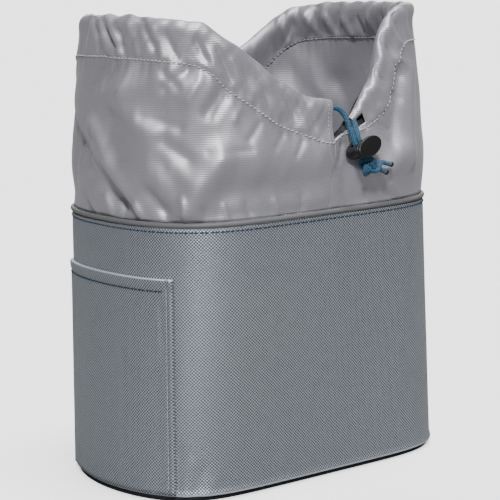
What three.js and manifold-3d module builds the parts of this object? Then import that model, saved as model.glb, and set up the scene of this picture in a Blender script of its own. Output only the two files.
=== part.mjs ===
// Handlebar bag with a drawcord collar: millimetres, +Z up, front towards -Y, floor at z = 0.
// A stiff woven lower wall stands on a black base; a thin gathered collar rises from its piping
// and is drawn together at the front by a cord with a sprung lock.

import * as THREE from 'three';

// Heights above the floor
const BASE_RISE = 3.5;
const WALL_TOP = 166.6;
const PIPING_Z = 168.5;
const COLLAR_FOOT = 170.3;
const SEAM_SHIFT = 0.013;
const RIM_TOP = 292;
const COLLAR_RISE = RIM_TOP - PIPING_Z;

// Plans: half width, half depth and the two powers of |x|^p + |y|^q = 1
const TOP_PLAN = { halfWidth: 109.2, halfDepth: 82.6, p: 4.94, q: 2.32 };
const FOOT_PLAN = { halfWidth: 118.4, halfDepth: 73.2, p: 6.15, q: 1.9 };

// Cloth and gaps
const GAP = 0.3;
const WALL_OUT = 0.6;
const WALL_THICK = 2.4;
const COLLAR_THICK = 1.2;
const POCKET_THICK = 1.3;
const POCKET_HEM = 11;
const POCKET_HEM_RAISE = 0.5;
const POCKET_FOLD = 3.2;
const POCKET_FOLD_RAISE = 0.9;
const POCKET_TOP = 136.5;
const POCKET_PRESS = 1.3;
const PIPING_RADIUS = 1.6;
const WALL_BOW = 1.2;

// Cord and lock
const CORD_RADIUS = 1.65;
const KNOT_CORD_RADIUS = 1.45;
const CORD_SIDES = 8;
const CORD_HEIGHT_SHARE = 0.79;
const LOCK = { x: 19.2, y: -85.4, z: 204.4, halfWidth: 7.5, halfHeight: 5.1, wall: 1.1, tilt: 14, roll: 22 };
const BARREL_LENGTH = 12;
const BUTTON_FACE = 17;
const BUTTON_CAP = 2.8;
const BUTTON_HALF = { width: 9.8, height: 5.9 };
const BUTTON_TRAVEL = 1.9;
const SLOT_LENGTH = 6;
const SLOT_START = 3;
const SLOT_HALF_WIDTH = 4;

// Strap loops on the back, for a bar of 31.8 mm
const LOOP = { x: 33, width: 22, radius: 16.8, flat: 14.2, thick: 2, z: 122 };

// Resolution
const WALL_COLUMNS = 90;
const RING_COLUMNS = 54;
const COLLAR_COLUMNS = 40;
const COLLAR_ROWS = 6;
// The pocket's back and front edges, in columns of the wall
const POCKET_FROM = 60;
const POCKET_TO = 75.7;

// Hem lines of the collar. Shares of half the way round from the front centre and of COLLAR_RISE:
// the stitch line (arc, height) and the rim above it (rimArc, rimHeight).
const BACK_HEM = [
  { arc: 0.500, height: 0.798, rimArc: 0.500, rimHeight: 1.000 },
  { arc: 0.580, height: 0.794, rimArc: 0.580, rimHeight: 1.000 },
  { arc: 0.640, height: 0.789, rimArc: 0.645, rimHeight: 0.992 },
  { arc: 0.690, height: 0.777, rimArc: 0.690, rimHeight: 0.977 },
  { arc: 0.722, height: 0.745, rimArc: 0.722, rimHeight: 0.955 },
  { arc: 0.748, height: 0.695, rimArc: 0.748, rimHeight: 0.925 },
  { arc: 0.772, height: 0.636, rimArc: 0.774, rimHeight: 0.880 },
  { arc: 0.802, height: 0.578, rimArc: 0.806, rimHeight: 0.822 },
  { arc: 0.842, height: 0.515, rimArc: 0.842, rimHeight: 0.755 },
  { arc: 0.890, height: 0.445, rimArc: 0.890, rimHeight: 0.670 },
  { arc: 0.950, height: 0.382, rimArc: 0.950, rimHeight: 0.603 },
  { arc: 1.000, height: 0.355, rimArc: 1.000, rimHeight: 0.575 },
];
const LEFT_HEM = [
  { arc: -0.013, height: 0.340, rimArc: -0.018, rimHeight: 0.552 },
  { arc: 0.015, height: 0.352, rimArc: 0.012, rimHeight: 0.565 },
  { arc: 0.052, height: 0.393, rimArc: 0.047, rimHeight: 0.592 },
  { arc: 0.110, height: 0.458, rimArc: 0.100, rimHeight: 0.670 },
  { arc: 0.160, height: 0.547, rimArc: 0.150, rimHeight: 0.778 },
  { arc: 0.205, height: 0.630, rimArc: 0.194, rimHeight: 0.855 },
  { arc: 0.236, height: 0.708, rimArc: 0.226, rimHeight: 0.915 },
  { arc: 0.262, height: 0.753, rimArc: 0.254, rimHeight: 0.956 },
  { arc: 0.294, height: 0.774, rimArc: 0.290, rimHeight: 0.977 },
  { arc: 0.333, height: 0.783, rimArc: 0.333, rimHeight: 0.984 },
  { arc: 0.376, height: 0.790, rimArc: 0.376, rimHeight: 0.992 },
  { arc: 0.440, height: 0.794, rimArc: 0.440, rimHeight: 1.000 },
];
const RIGHT_HEM = [
  { arc: 0.083, height: 0.392, rimArc: 0.061, rimHeight: 0.457 },
  { arc: 0.105, height: 0.412, rimArc: 0.090, rimHeight: 0.560 },
  { arc: 0.126, height: 0.440, rimArc: 0.108, rimHeight: 0.612 },
  { arc: 0.145, height: 0.478, rimArc: 0.122, rimHeight: 0.652 },
  { arc: 0.160, height: 0.535, rimArc: 0.132, rimHeight: 0.718 },
  { arc: 0.171, height: 0.608, rimArc: 0.142, rimHeight: 0.798 },
  { arc: 0.182, height: 0.690, rimArc: 0.160, rimHeight: 0.893 },
  { arc: 0.197, height: 0.756, rimArc: 0.182, rimHeight: 0.958 },
  { arc: 0.224, height: 0.804, rimArc: 0.214, rimHeight: 0.990 },
  { arc: 0.264, height: 0.812, rimArc: 0.258, rimHeight: 1.000 },
  { arc: 0.333, height: 0.806, rimArc: 0.333, rimHeight: 1.000 },
  { arc: 0.416, height: 0.800, rimArc: 0.416, rimHeight: 1.000 },
];

// Upper edge of the right panel below the open mouth of its channel
const RIGHT_LIP = [
  { arc: 0.013, height: 0.348 },
  { arc: 0.022, height: 0.364 },
  { arc: 0.032, height: 0.374 },
  { arc: 0.043, height: 0.381 },
  { arc: 0.053, height: 0.385 },
  { arc: 0.062, height: 0.387 },
  { arc: 0.072, height: 0.388 },
];

// How far the collar's outer face stands off the piping's centre line, by share of COLLAR_RISE
const FULLNESS = [
  { height: 0.00, left: -0.7, right: -0.6 },
  { height: 0.12, left: 0.2, right: 0.4 },
  { height: 0.28, left: 1.0, right: 1.0 },
  { height: 0.42, left: 0.8, right: 0.7 },
  { height: 0.58, left: 0.1, right: -0.1 },
  { height: 0.74, left: -1.2, right: -2.2 },
  { height: 0.88, left: -2.2, right: -4.0 },
  { height: 1.00, left: -2.6, right: -3.2 },
];

// How far the collar is drawn in at its left back corner: where along the arc, over what reach,
// and how deep at the foot and at the rim in millimetres
const DRAW_IN = { arc: 0.68, reach: 0.13, foot: 1.8, rim: 7.6 };

// Folds of the collar: ends in signed arc (share of half the way round, + to the right) and height
// (share of COLLAR_RISE), then half width and rise in millimetres
const FOLDS = [
  { arc: -0.603, height: 0.364, toArc: -0.418, toHeight: 0.066, width: 8, rise: -3.0 },
  { arc: -0.516, height: 0.466, toArc: -0.405, toHeight: 0.070, width: 6, rise: 2.2 },
  { arc: -0.480, height: 0.628, toArc: -0.306, toHeight: 0.688, width: 9, rise: 1.8 },
  { arc: -0.325, height: 0.659, toArc: -0.283, toHeight: 0.738, width: 4, rise: -1.8 },
  { arc: -0.250, height: 0.542, toArc: -0.224, toHeight: 0.629, width: 4, rise: -1.6 },
  { arc: -0.331, height: 0.402, toArc: -0.290, toHeight: 0.317, width: 5, rise: -1.5 },
  { arc: -0.435, height: 0.571, toArc: -0.329, toHeight: 0.411, width: 7, rise: 1.2 },
  { arc: -0.292, height: 0.053, toArc: -0.230, toHeight: 0.311, width: 8, rise: 2.2 },
  { arc: -0.213, height: 0.212, toArc: -0.017, toHeight: 0.238, width: 10, rise: -2.2 },
  { arc: -0.204, height: 0.114, toArc: -0.020, toHeight: 0.104, width: 6, rise: 1.0 },
  { arc: -0.366, height: 0.143, toArc: -0.335, toHeight: 0.065, width: 5, rise: -1.6 },
  { arc: -0.331, height: 0.291, toArc: -0.304, toHeight: 0.173, width: 6, rise: -1.2 },
  { arc: 0.184, height: 0.274, toArc: 0.128, toHeight: 0.165, width: 7, rise: 1.6 },
  { arc: 0.190, height: 0.619, toArc: 0.156, toHeight: 0.321, width: 5, rise: -1.6 },
  { arc: 0.230, height: 0.661, toArc: 0.198, toHeight: 0.208, width: 6, rise: 1.6 },
  { arc: 0.031, height: 0.201, toArc: 0.053, toHeight: 0.045, width: 8, rise: -1.8 },
  { arc: 0.363, height: 0.579, toArc: 0.454, toHeight: 0.174, width: 9, rise: -2.0 },
  { arc: 0.606, height: 0.538, toArc: 0.545, toHeight: 0.174, width: 9, rise: 2.0 },
  { arc: 0.712, height: 0.377, toArc: 0.757, toHeight: 0.134, width: 9, rise: -2.0 },
  { arc: 0.878, height: 0.255, toArc: 0.793, toHeight: 0.077, width: 8, rise: 1.8 },
  { arc: -0.681, height: 0.579, toArc: -0.621, toHeight: 0.215, width: 9, rise: -2.0 },
  { arc: -0.757, height: 0.336, toArc: -0.818, toHeight: 0.093, width: 9, rise: 2.0 },
  { arc: -0.909, height: 0.296, toArc: -0.863, toHeight: 0.093, width: 8, rise: -1.6 },
];

// Soft dents of the lower wall: signed arc share, height share of WALL_TOP, reach in millimetres
const DENTS = [
  { arc: -0.300, height: 0.10, reach: 16, rise: -0.8 },
  { arc: 0.140, height: 0.45, reach: 30, rise: -0.9 },
  { arc: 0.240, height: 0.40, reach: 16, rise: 0.7 },
  { arc: -0.220, height: 0.55, reach: 34, rise: 0.8 },
  { arc: 0.560, height: 0.50, reach: 34, rise: -1.0 },
];

// Half sections of the hem channel: height share and half width, and of its hollow
const CHANNEL_OUTER = [
  { height: 0.00, half: 0.70, rib: 0.00 },
  { height: 0.35, half: 1.60, rib: 0.50 },
  { height: 0.80, half: 3.30, rib: 1.00 },
  { height: 0.98, half: 2.10, rib: 0.30 },
];
const CHANNEL_HOLLOW = [
  { height: 0.12, half: 0.15, rib: 0.00 },
  { height: 0.38, half: 0.60, rib: 0.40 },
  { height: 0.80, half: 2.25, rib: 0.80 },
  { height: 0.93, half: 1.20, rib: 0.20 },
];

// Free cord, from the channel mouths through the lock to the knot
const CORD_LEFT_PATH = [
  [7.2, -80.6, 231.8], [9.6, -81.4, 231.4], [11.6, -82.6, 229.9], [13.0, -84.6, 226.8],
  [13.9, -86.8, 222.0], [14.4, -89.0, 216.8], [15.0, -90.9, 211.2], [16.3, -91.6, 208.1],
  [17.4, -92.3, 205.4], [18.6, -93.0, 202.7], [19.5, -93.5, 200.6],
];
const CORD_RIGHT_PATH = [
  [20.7, -80.3, 220.9], [20.6, -81.9, 220.4], [20.3, -84.6, 218.9], [19.6, -87.9, 216.0],
  [18.5, -90.5, 212.6], [19.8, -91.3, 209.5], [21.0, -92.0, 206.8], [22.1, -92.6, 204.1],
  [22.6, -92.9, 202.9],
];
const MOUTH_SHARE = 0.77;
const KNOT = { x: 23.3, y: -94.8, z: 195.4, width: 2.1, height: 1.4, depth: 2.4, opening: 0.34 };
const KNOT_TAILS = {
  upper: [[8.8, -1.0, 1.5], [12.6, -0.9, 0.8], [17.5, -0.7, -0.6]],
  lower: [[8.6, 1.1, -2.4], [11.4, 0.5, -4.0], [14.2, 0.0, -5.4]],
};

const COLOURS = {
  woven: [0.50, 0.54, 0.57],
  nylon: [0.62, 0.62, 0.65],
  piping: [0.42, 0.42, 0.43],
  base: [0.05, 0.05, 0.055],
  cord: [0.08, 0.31, 0.44],
  lock: [0.03, 0.03, 0.035],
  strap: [0.08, 0.08, 0.085],
};

const lerp = (a, b, t) => a + (b - a) * t;
const smooth = (t) => {
  const c = Math.min(1, Math.max(0, t));
  return c * c * (3 - 2 * c);
};
const signedPower = (v, e) => Math.sign(v) * Math.abs(v) ** e;

// Reads one column of a table at position x along another, through smooth cubic pieces
function readTable(rows, xKey, yKey, x) {
  const last = rows.length - 1;
  let i = 0;
  while (i < last - 1 && x > rows[i + 1][xKey]) i += 1;
  const slope = (j) => {
    const a = rows[Math.max(0, j - 1)];
    const b = rows[Math.min(last, j + 1)];
    return (b[yKey] - a[yKey]) / (b[xKey] - a[xKey]);
  };
  const step = rows[i + 1][xKey] - rows[i][xKey];
  const t = Math.min(1, Math.max(0, (x - rows[i][xKey]) / step));
  const t2 = t * t;
  const t3 = t2 * t;
  return (2 * t3 - 3 * t2 + 1) * rows[i][yKey] + (t3 - 2 * t2 + t) * step * slope(i)
    + (3 * t2 - 2 * t3) * rows[i + 1][yKey] + (t3 - t2) * step * slope(i + 1);
}

// A plan outline read by share of its length: 0 at the front centre, 0.25 at the right end
function makePlan({ halfWidth, halfDepth, p, q }) {
  const steps = 1440;
  const points = [];
  const lengths = [0];
  for (let i = 0; i <= steps; i += 1) {
    const angle = (i / steps) * Math.PI * 2 - Math.PI / 2;
    points.push([
      halfWidth * signedPower(Math.cos(angle), 2 / p),
      halfDepth * signedPower(Math.sin(angle), 2 / q),
    ]);
    if (i > 0) {
      const [x0, y0] = points[i - 1];
      lengths.push(lengths[i - 1] + Math.hypot(points[i][0] - x0, points[i][1] - y0));
    }
  }
  const total = lengths[steps];
  const at = (share) => {
    const target = (share - Math.floor(share)) * total;
    let low = 0;
    let high = steps;
    while (high - low > 1) {
      const middle = (low + high) >> 1;
      if (lengths[middle] <= target) low = middle;
      else high = middle;
    }
    const t = (target - lengths[low]) / (lengths[high] - lengths[low]);
    return [lerp(points[low][0], points[high][0], t), lerp(points[low][1], points[high][1], t)];
  };
  const frame = (share) => {
    const [x, y] = at(share);
    const [xa, ya] = at(share - 0.006);
    const [xb, yb] = at(share + 0.006);
    const length = Math.hypot(xb - xa, yb - ya);
    return { x, y, nx: (yb - ya) / length, ny: -(xb - xa) / length };
  };
  return { total, frame };
}

const topPlan = makePlan(TOP_PLAN);
const footPlan = makePlan(FOOT_PLAN);
const HALF_LOOP = topPlan.total / 2;

// Signed arc share (-1..1, + to the right) of a share round the plan
const signedArc = (share) => {
  const s = share - Math.floor(share);
  return s > 0.5 ? 2 * s - 2 : 2 * s;
};

function wallPoint(share, z, off) {
  const t = (z - BASE_RISE) / (PIPING_Z - BASE_RISE);
  const a = footPlan.frame(share);
  const b = topPlan.frame(share);
  const arc = signedArc(share);
  let rise = off + WALL_BOW * Math.sin(Math.PI * Math.min(1, Math.max(0, t))) * smooth(1 - Math.abs(arc) * 3);
  for (const d of DENTS) {
    const along = (arc - d.arc) * HALF_LOOP / d.reach;
    const up = (z - d.height * WALL_TOP) / (d.reach * 1.6);
    rise += d.rise * Math.exp(-(along * along + up * up));
  }
  const under = (POCKET_TO / WALL_COLUMNS - share) * topPlan.total;
  const over = (share - POCKET_FROM / WALL_COLUMNS) * topPlan.total;
  rise -= POCKET_PRESS * smooth((POCKET_TOP - z) / 24) * smooth(under / 12) * smooth(over / 12);
  const nx = lerp(a.nx, b.nx, t);
  const ny = lerp(a.ny, b.ny, t);
  const n = Math.hypot(nx, ny);
  return new THREE.Vector3(lerp(a.x, b.x, t) + nx / n * rise, lerp(a.y, b.y, t) + ny / n * rise, z);
}

// The wall's own facets, read between its columns, so that the pocket lies parallel to them
function facetPoint(column, z, off) {
  const low = Math.min(WALL_COLUMNS - 1, Math.floor(column));
  const a = wallPoint(low / WALL_COLUMNS, z, off);
  const b = wallPoint((low + 1) / WALL_COLUMNS, z, off);
  return a.lerp(b, column - low);
}

function foldRise(arc, height) {
  let rise = 0;
  const s = arc * HALF_LOOP;
  const z = height * COLLAR_RISE;
  for (const f of FOLDS) {
    const s0 = f.arc * HALF_LOOP;
    const z0 = f.height * COLLAR_RISE;
    const ds = f.toArc * HALF_LOOP - s0;
    const dz = f.toHeight * COLLAR_RISE - z0;
    const length = Math.hypot(ds, dz);
    const along = ((s - s0) * ds + (z - z0) * dz) / length;
    const across = ((s - s0) * dz - (z - z0) * ds) / length;
    const past = Math.max(0, -along, along - length);
    rise += f.rise * Math.exp(-((across / f.width) ** 2) - (past / (f.width * 0.9)) ** 2);
  }
  return rise * smooth(height / 0.06);
}

// A point of the collar's outer face by signed arc share and height share
function collarPoint(side, arc, height, off, folded) {
  const { x, y, nx, ny } = topPlan.frame(side * arc / 2);
  const key = side > 0 ? 'right' : 'left';
  const blend = smooth((arc - 0.9) / 0.1) * 0.5 + smooth((0.1 - arc) / 0.1) * 0.5;
  const other = side > 0 ? 'left' : 'right';
  const full = lerp(readTable(FULLNESS, 'height', key, height), readTable(FULLNESS, 'height', other, height), blend);
  const depth = DRAW_IN.foot * smooth(height / 0.1) + (DRAW_IN.rim - DRAW_IN.foot) * height * height;
  const drawn = side < 0 ? depth * Math.exp(-(((arc - DRAW_IN.arc) / DRAW_IN.reach) ** 2)) : 0;
  const rise = full - drawn + off + foldRise(side * arc, height) * folded;
  return new THREE.Vector3(x + nx * rise, y + ny * rise, PIPING_Z + height * COLLAR_RISE);
}

// Columns of one side, from the front seam to the back seam. Those of the right lip have no channel.
function hemColumns(side) {
  const hem = (side > 0 ? RIGHT_HEM : LEFT_HEM).concat(BACK_HEM);
  const lip = side > 0 ? RIGHT_LIP : [];
  const margin = GAP * 0.5 / HALF_LOOP;
  const seam = side * SEAM_SHIFT;
  const columns = lip.map((row, i) => ({ arc: row.arc + (i === 0 ? margin : 0), height: row.height }));
  const count = COLLAR_COLUMNS - lip.length;
  for (let i = 0; i <= count; i += 1) {
    const t = i / count;
    const spread = lerp(t, t * t, 0.35);
    const arc = lerp(hem[0].arc + (side > 0 ? 0 : margin), 1 - margin, spread);
    columns.push({
      arc,
      height: readTable(hem, 'arc', 'height', arc),
      rimArc: readTable(hem, 'arc', 'rimArc', arc) - (i === count ? margin : 0),
      rimHeight: readTable(hem, 'arc', 'rimHeight', arc),
    });
  }
  columns.forEach((c) => {
    c.footArc = lerp(margin, 1 - margin, (c.arc - seam - margin) / (1 - seam - 2 * margin));
  });
  // Unit normal of the stitch line in the unrolled cloth, as shares
  columns.forEach((c, i) => {
    const a = columns[Math.max(0, i - 1)];
    const b = columns[Math.min(columns.length - 1, i + 1)];
    const ds = (b.arc - a.arc) * HALF_LOOP;
    const dz = (b.height - a.height) * COLLAR_RISE;
    const length = Math.hypot(ds, dz);
    c.normalArc = -dz / length / HALF_LOOP;
    c.normalHeight = ds / length / COLLAR_RISE;
  });
  return columns;
}

// Joins closed sections of equal count into one skin; ends are closed across, or section to section
function sweep(sections, closed) {
  const count = sections[0].length;
  const positions = sections.flat().flatMap((v) => [v.x, v.y, v.z]);
  const index = [];
  const rows = closed ? sections.length : sections.length - 1;
  for (let i = 0; i < rows; i += 1) {
    const a = i * count;
    const b = ((i + 1) % sections.length) * count;
    for (let j = 0; j < count; j += 1) {
      const k = (j + 1) % count;
      index.push(a + j, b + j, b + k, a + j, b + k, a + k);
    }
  }
  if (!closed) {
    const end = (sections.length - 1) * count;
    for (let j = 0; j < count / 2 - 1; j += 1) {
      const k = count - 1 - j;
      index.push(j, j + 1, k - 1, j, k - 1, k);
      index.push(end + j, end + k - 1, end + j + 1, end + j, end + k, end + k - 1);
    }
  }
  return finished(positions, index);
}

// As sweep, with a hollow of the same count of points running through, open at both ends
function sweepHollow(outer, inner) {
  const count = outer[0].length;
  const positions = outer.flat().concat(inner.flat()).flatMap((v) => [v.x, v.y, v.z]);
  const shift = outer.length * count;
  const index = [];
  for (let i = 0; i < outer.length - 1; i += 1) {
    const a = i * count;
    const b = (i + 1) * count;
    for (let j = 0; j < count; j += 1) {
      const k = (j + 1) % count;
      index.push(a + j, b + j, b + k, a + j, b + k, a + k);
      index.push(shift + a + j, shift + b + k, shift + b + j);
      index.push(shift + a + j, shift + a + k, shift + b + k);
    }
  }
  const end = (outer.length - 1) * count;
  for (let j = 0; j < count; j += 1) {
    const k = (j + 1) % count;
    index.push(j, k, shift + k, j, shift + k, shift + j);
    index.push(end + j, shift + end + k, end + k, end + j, shift + end + j, shift + end + k);
  }
  return finished(positions, index);
}

// A geometry with its triangles turned so that the volume they close is positive
function finished(positions, index) {
  let volume = 0;
  const p = (i) => new THREE.Vector3(positions[3 * i], positions[3 * i + 1], positions[3 * i + 2]);
  for (let t = 0; t < index.length; t += 3) {
    volume += p(index[t]).dot(p(index[t + 1]).cross(p(index[t + 2])));
  }
  if (volume < 0) {
    for (let t = 0; t < index.length; t += 3) {
      [index[t + 1], index[t + 2]] = [index[t + 2], index[t + 1]];
    }
  }
  const geometry = new THREE.BufferGeometry();
  geometry.setAttribute('position', new THREE.Float32BufferAttribute(positions, 3));
  geometry.setIndex(index);
  geometry.computeVertexNormals();
  return geometry;
}

function cordTube(points, radius, steps) {
  const corners = [];
  for (let i = 0; i < CORD_SIDES; i += 1) {
    const angle = (i / CORD_SIDES) * Math.PI * 2;
    corners.push(new THREE.Vector2(radius * Math.cos(angle), radius * Math.sin(angle)));
  }
  const path = new THREE.CatmullRomCurve3(points, false, 'centripetal');
  return new THREE.ExtrudeGeometry(new THREE.Shape(corners), { steps, extrudePath: path, bevelEnabled: false });
}

const bag = new THREE.Group();
bag.name = 'handlebar_bag';

function add(name, geometry, colour, roughness, metalness = 0) {
  const material = new THREE.MeshStandardMaterial({ roughness, metalness });
  material.color.setRGB(...COLOURS[colour], THREE.SRGBColorSpace);
  const mesh = new THREE.Mesh(geometry, material);
  mesh.name = name;
  bag.add(mesh);
  return mesh;
}

// Lower wall
const wallRows = [BASE_RISE, 12, 60, 115, WALL_TOP];
const wallSections = [];
for (let i = 0; i < WALL_COLUMNS; i += 1) {
  const outer = wallRows.map((z) => wallPoint(i / WALL_COLUMNS, z, WALL_OUT));
  const inner = wallRows.map((z) => wallPoint(i / WALL_COLUMNS, z, WALL_OUT - WALL_THICK)).reverse();
  wallSections.push(outer.concat(inner));
}
add('body_wall', sweep(wallSections, true), 'woven', 0.75);

// Base panel: flat underneath, rounded up to the hem
const baseRings = [
  { inset: 7, z: 0 },
  { inset: 3.2, z: 0.9 },
  { inset: 1.6, z: 2.2 },
  { inset: 1.4, z: BASE_RISE - GAP },
];
function basePanel() {
  const positions = [];
  const index = [];
  baseRings.forEach(({ inset, z }) => {
    for (let i = 0; i < RING_COLUMNS; i += 1) {
      const f = footPlan.frame(i / RING_COLUMNS);
      positions.push(f.x - f.nx * inset, f.y - f.ny * inset, z);
    }
  });
  const n = RING_COLUMNS;
  for (let r = 0; r < baseRings.length - 1; r += 1) {
    for (let i = 0; i < n; i += 1) {
      const k = (i + 1) % n;
      index.push(r * n + i, r * n + k, (r + 1) * n + k, r * n + i, (r + 1) * n + k, (r + 1) * n + i);
    }
  }
  const low = positions.length / 3;
  positions.push(0, 0, 0);
  positions.push(0, 0, BASE_RISE - GAP);
  const top = (baseRings.length - 1) * n;
  for (let i = 0; i < n; i += 1) {
    const k = (i + 1) % n;
    index.push(low, k, i);
    index.push(low + 1, top + i, top + k);
  }
  return finished(positions, index);
}
add('base_panel', basePanel(), 'base', 0.8);

// Piping round the top of the wall
const pipingSections = [];
for (let i = 0; i < RING_COLUMNS; i += 1) {
  const { x, y, nx, ny } = topPlan.frame(i / RING_COLUMNS);
  const ring = [];
  for (let j = 0; j < 8; j += 1) {
    const angle = (j + 0.5) * Math.PI / 4;
    const out = PIPING_RADIUS * Math.cos(angle);
    ring.push(new THREE.Vector3(x + nx * out, y + ny * out, PIPING_Z + PIPING_RADIUS * Math.sin(angle)));
  }
  pipingSections.push(ring);
}
add('body_piping', sweep(pipingSections, true), 'piping', 0.6);

// Side pocket round the left end, raised along its top hem and its front fold
function pocket() {
  const foot = BASE_RISE + 1.2;
  const rows = [
    { z: foot, raise: 0 },
    { z: 60, raise: 0 },
    { z: 115, raise: 0 },
    { z: POCKET_TOP - POCKET_HEM, raise: 0 },
    { z: POCKET_TOP - POCKET_HEM + 1.5, raise: POCKET_HEM_RAISE },
    { z: POCKET_TOP, raise: POCKET_HEM_RAISE },
  ];
  const step = topPlan.total / WALL_COLUMNS;
  const columns = [];
  for (let c = POCKET_FROM; c < POCKET_TO; c += 1) columns.push({ column: c, raise: 0 });
  columns.push({ column: POCKET_TO - (POCKET_FOLD + 0.6) / step, raise: 0 });
  columns.push({ column: POCKET_TO - POCKET_FOLD / step, raise: POCKET_FOLD_RAISE });
  columns.push({ column: POCKET_TO, raise: POCKET_FOLD_RAISE });
  const near = WALL_OUT + GAP;
  const sections = columns.map(({ column, raise }) => {
    const outer = rows.map((r) => facetPoint(column, r.z, near + POCKET_THICK + Math.max(raise, r.raise)));
    const inner = rows.map((r) => facetPoint(column, r.z, near)).reverse();
    return outer.concat(inner);
  });
  return sweep(sections, false);
}
add('side_pocket', pocket(), 'woven', 0.75);

// Collar panels and their hem channels
const runs = {};
[['left', -1], ['right', 1]].forEach(([name, side]) => {
  const columns = hemColumns(side);
  const footHeight = (COLLAR_FOOT - PIPING_Z) / COLLAR_RISE;
  const edge = GAP / 2;

  const panelSections = columns.map((c) => {
    const topArc = c.arc - c.normalArc * edge;
    const topHeight = c.height - c.normalHeight * edge;
    const outer = [];
    const inner = [];
    for (let r = 0; r <= COLLAR_ROWS; r += 1) {
      const v = r / COLLAR_ROWS;
      const arc = lerp(c.footArc, topArc, v);
      const height = lerp(footHeight, topHeight, v);
      outer.push(collarPoint(side, arc, height, 0, 1));
      inner.push(collarPoint(side, arc, height, -COLLAR_THICK, 1));
    }
    return outer.concat(inner.reverse());
  });
  add(`collar_${name}`, sweep(panelSections, false), 'nylon', 0.45);

  const channelPoint = (c, up, across) => {
    const arc = lerp(c.arc + c.normalArc * edge, c.rimArc, up);
    const height = lerp(c.height + c.normalHeight * edge, c.rimHeight, up);
    const sink = lerp(COLLAR_THICK / 2, 3, smooth(up / 0.7));
    return collarPoint(side, arc, height, across - sink, 1 - smooth(up / 0.5));
  };
  const half = (table, c, i, way) => table.map((row) => {
    const rib = i % 2 === 1 ? row.rib : 0;
    return channelPoint(c, row.height, way * (row.half + rib));
  });
  const hemmed = columns.filter((c) => c.rimArc !== undefined);
  const ring = (table) => hemmed.map((c, i) => half(table, c, i, 1).concat(half(table, c, i, -1).reverse()));
  add(`channel_${name}`, sweepHollow(ring(CHANNEL_OUTER), ring(CHANNEL_HOLLOW)), 'nylon', 0.45);
  const mouthShare = side > 0 ? MOUTH_SHARE : CORD_HEIGHT_SHARE;
  runs[name] = hemmed.map((c, i) => channelPoint(c, i === 0 ? mouthShare : CORD_HEIGHT_SHARE, 0));
});

// Hidden cord inside the channels, from the left mouth round the back to the right mouth
const hiddenRun = runs.left.slice(0, -1).concat(runs.right.slice(0, -1).reverse());
hiddenRun[0].lerp(hiddenRun[1], 0.12);
function polylineTube(points, radius) {
  const up = new THREE.Vector3(0, 0, 1);
  const sections = points.map((p, i) => {
    const along = points[Math.min(points.length - 1, i + 1)].clone().sub(points[Math.max(0, i - 1)]).normalize();
    const across = new THREE.Vector3().crossVectors(along, up).normalize();
    const over = new THREE.Vector3().crossVectors(across, along).normalize();
    const ring = [];
    for (let j = 0; j < CORD_SIDES; j += 1) {
      const angle = (j + 0.5) * Math.PI * 2 / CORD_SIDES;
      ring.push(p.clone()
        .addScaledVector(across, radius * Math.cos(angle))
        .addScaledVector(over, radius * Math.sin(angle)));
    }
    return ring;
  });
  return sweep(sections, false);
}
add('cord_in_channel', polylineTube(hiddenRun, CORD_RADIUS * 0.9), 'cord', 0.7);

// Free cord
const toVector = ([x, y, z]) => new THREE.Vector3(x, y, z);
add('cord_left', cordTube(CORD_LEFT_PATH.map(toVector), CORD_RADIUS, 16), 'cord', 0.7);
add('cord_right', cordTube(CORD_RIGHT_PATH.map(toVector), CORD_RADIUS, 14), 'cord', 0.7);

// Overhand knot with its two tails: an open trefoil path facing the front
function knotPath() {
  const loop = [];
  const turns = 26;
  for (let i = 0; i <= turns; i += 1) {
    const t = lerp(Math.PI + KNOT.opening, Math.PI * 3 - KNOT.opening, i / turns);
    loop.push([
      -KNOT.width * (Math.cos(t) - 2 * Math.cos(2 * t)),
      KNOT.depth * Math.sin(3 * t),
      -KNOT.height * (Math.sin(t) + 2 * Math.sin(2 * t)),
    ]);
  }
  return loop;
}
const knotPoints = [...KNOT_TAILS.upper].reverse().concat(knotPath(), KNOT_TAILS.lower);
add('cord_knot', cordTube(
  knotPoints.map(([x, y, z]) => new THREE.Vector3(KNOT.x + x, KNOT.y + y, KNOT.z + z)),
  KNOT_CORD_RADIUS,
  50,
), 'cord', 0.7);

// Cord lock: an oval barrel and a sprung button, each with a slot that the two cords pass through.
// The slots are offset at rest by the button's travel, which nips the cords. The lock hangs with its
// button end raised, and rolled so that the cords pass down it at a slant.
const lockTilt = THREE.MathUtils.degToRad(LOCK.tilt);
const lockRoll = THREE.MathUtils.degToRad(LOCK.roll);
const level = new THREE.Vector3(1, 0, 0);
const upright = new THREE.Vector3(0, Math.sin(lockTilt), Math.cos(lockTilt));
const lockOut = new THREE.Vector3(0, -Math.cos(lockTilt), Math.sin(lockTilt));
const lockSide = level.clone().multiplyScalar(Math.cos(lockRoll)).addScaledVector(upright, Math.sin(lockRoll));
const lockUp = upright.clone().multiplyScalar(Math.cos(lockRoll)).addScaledVector(level, -Math.sin(lockRoll));

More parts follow.
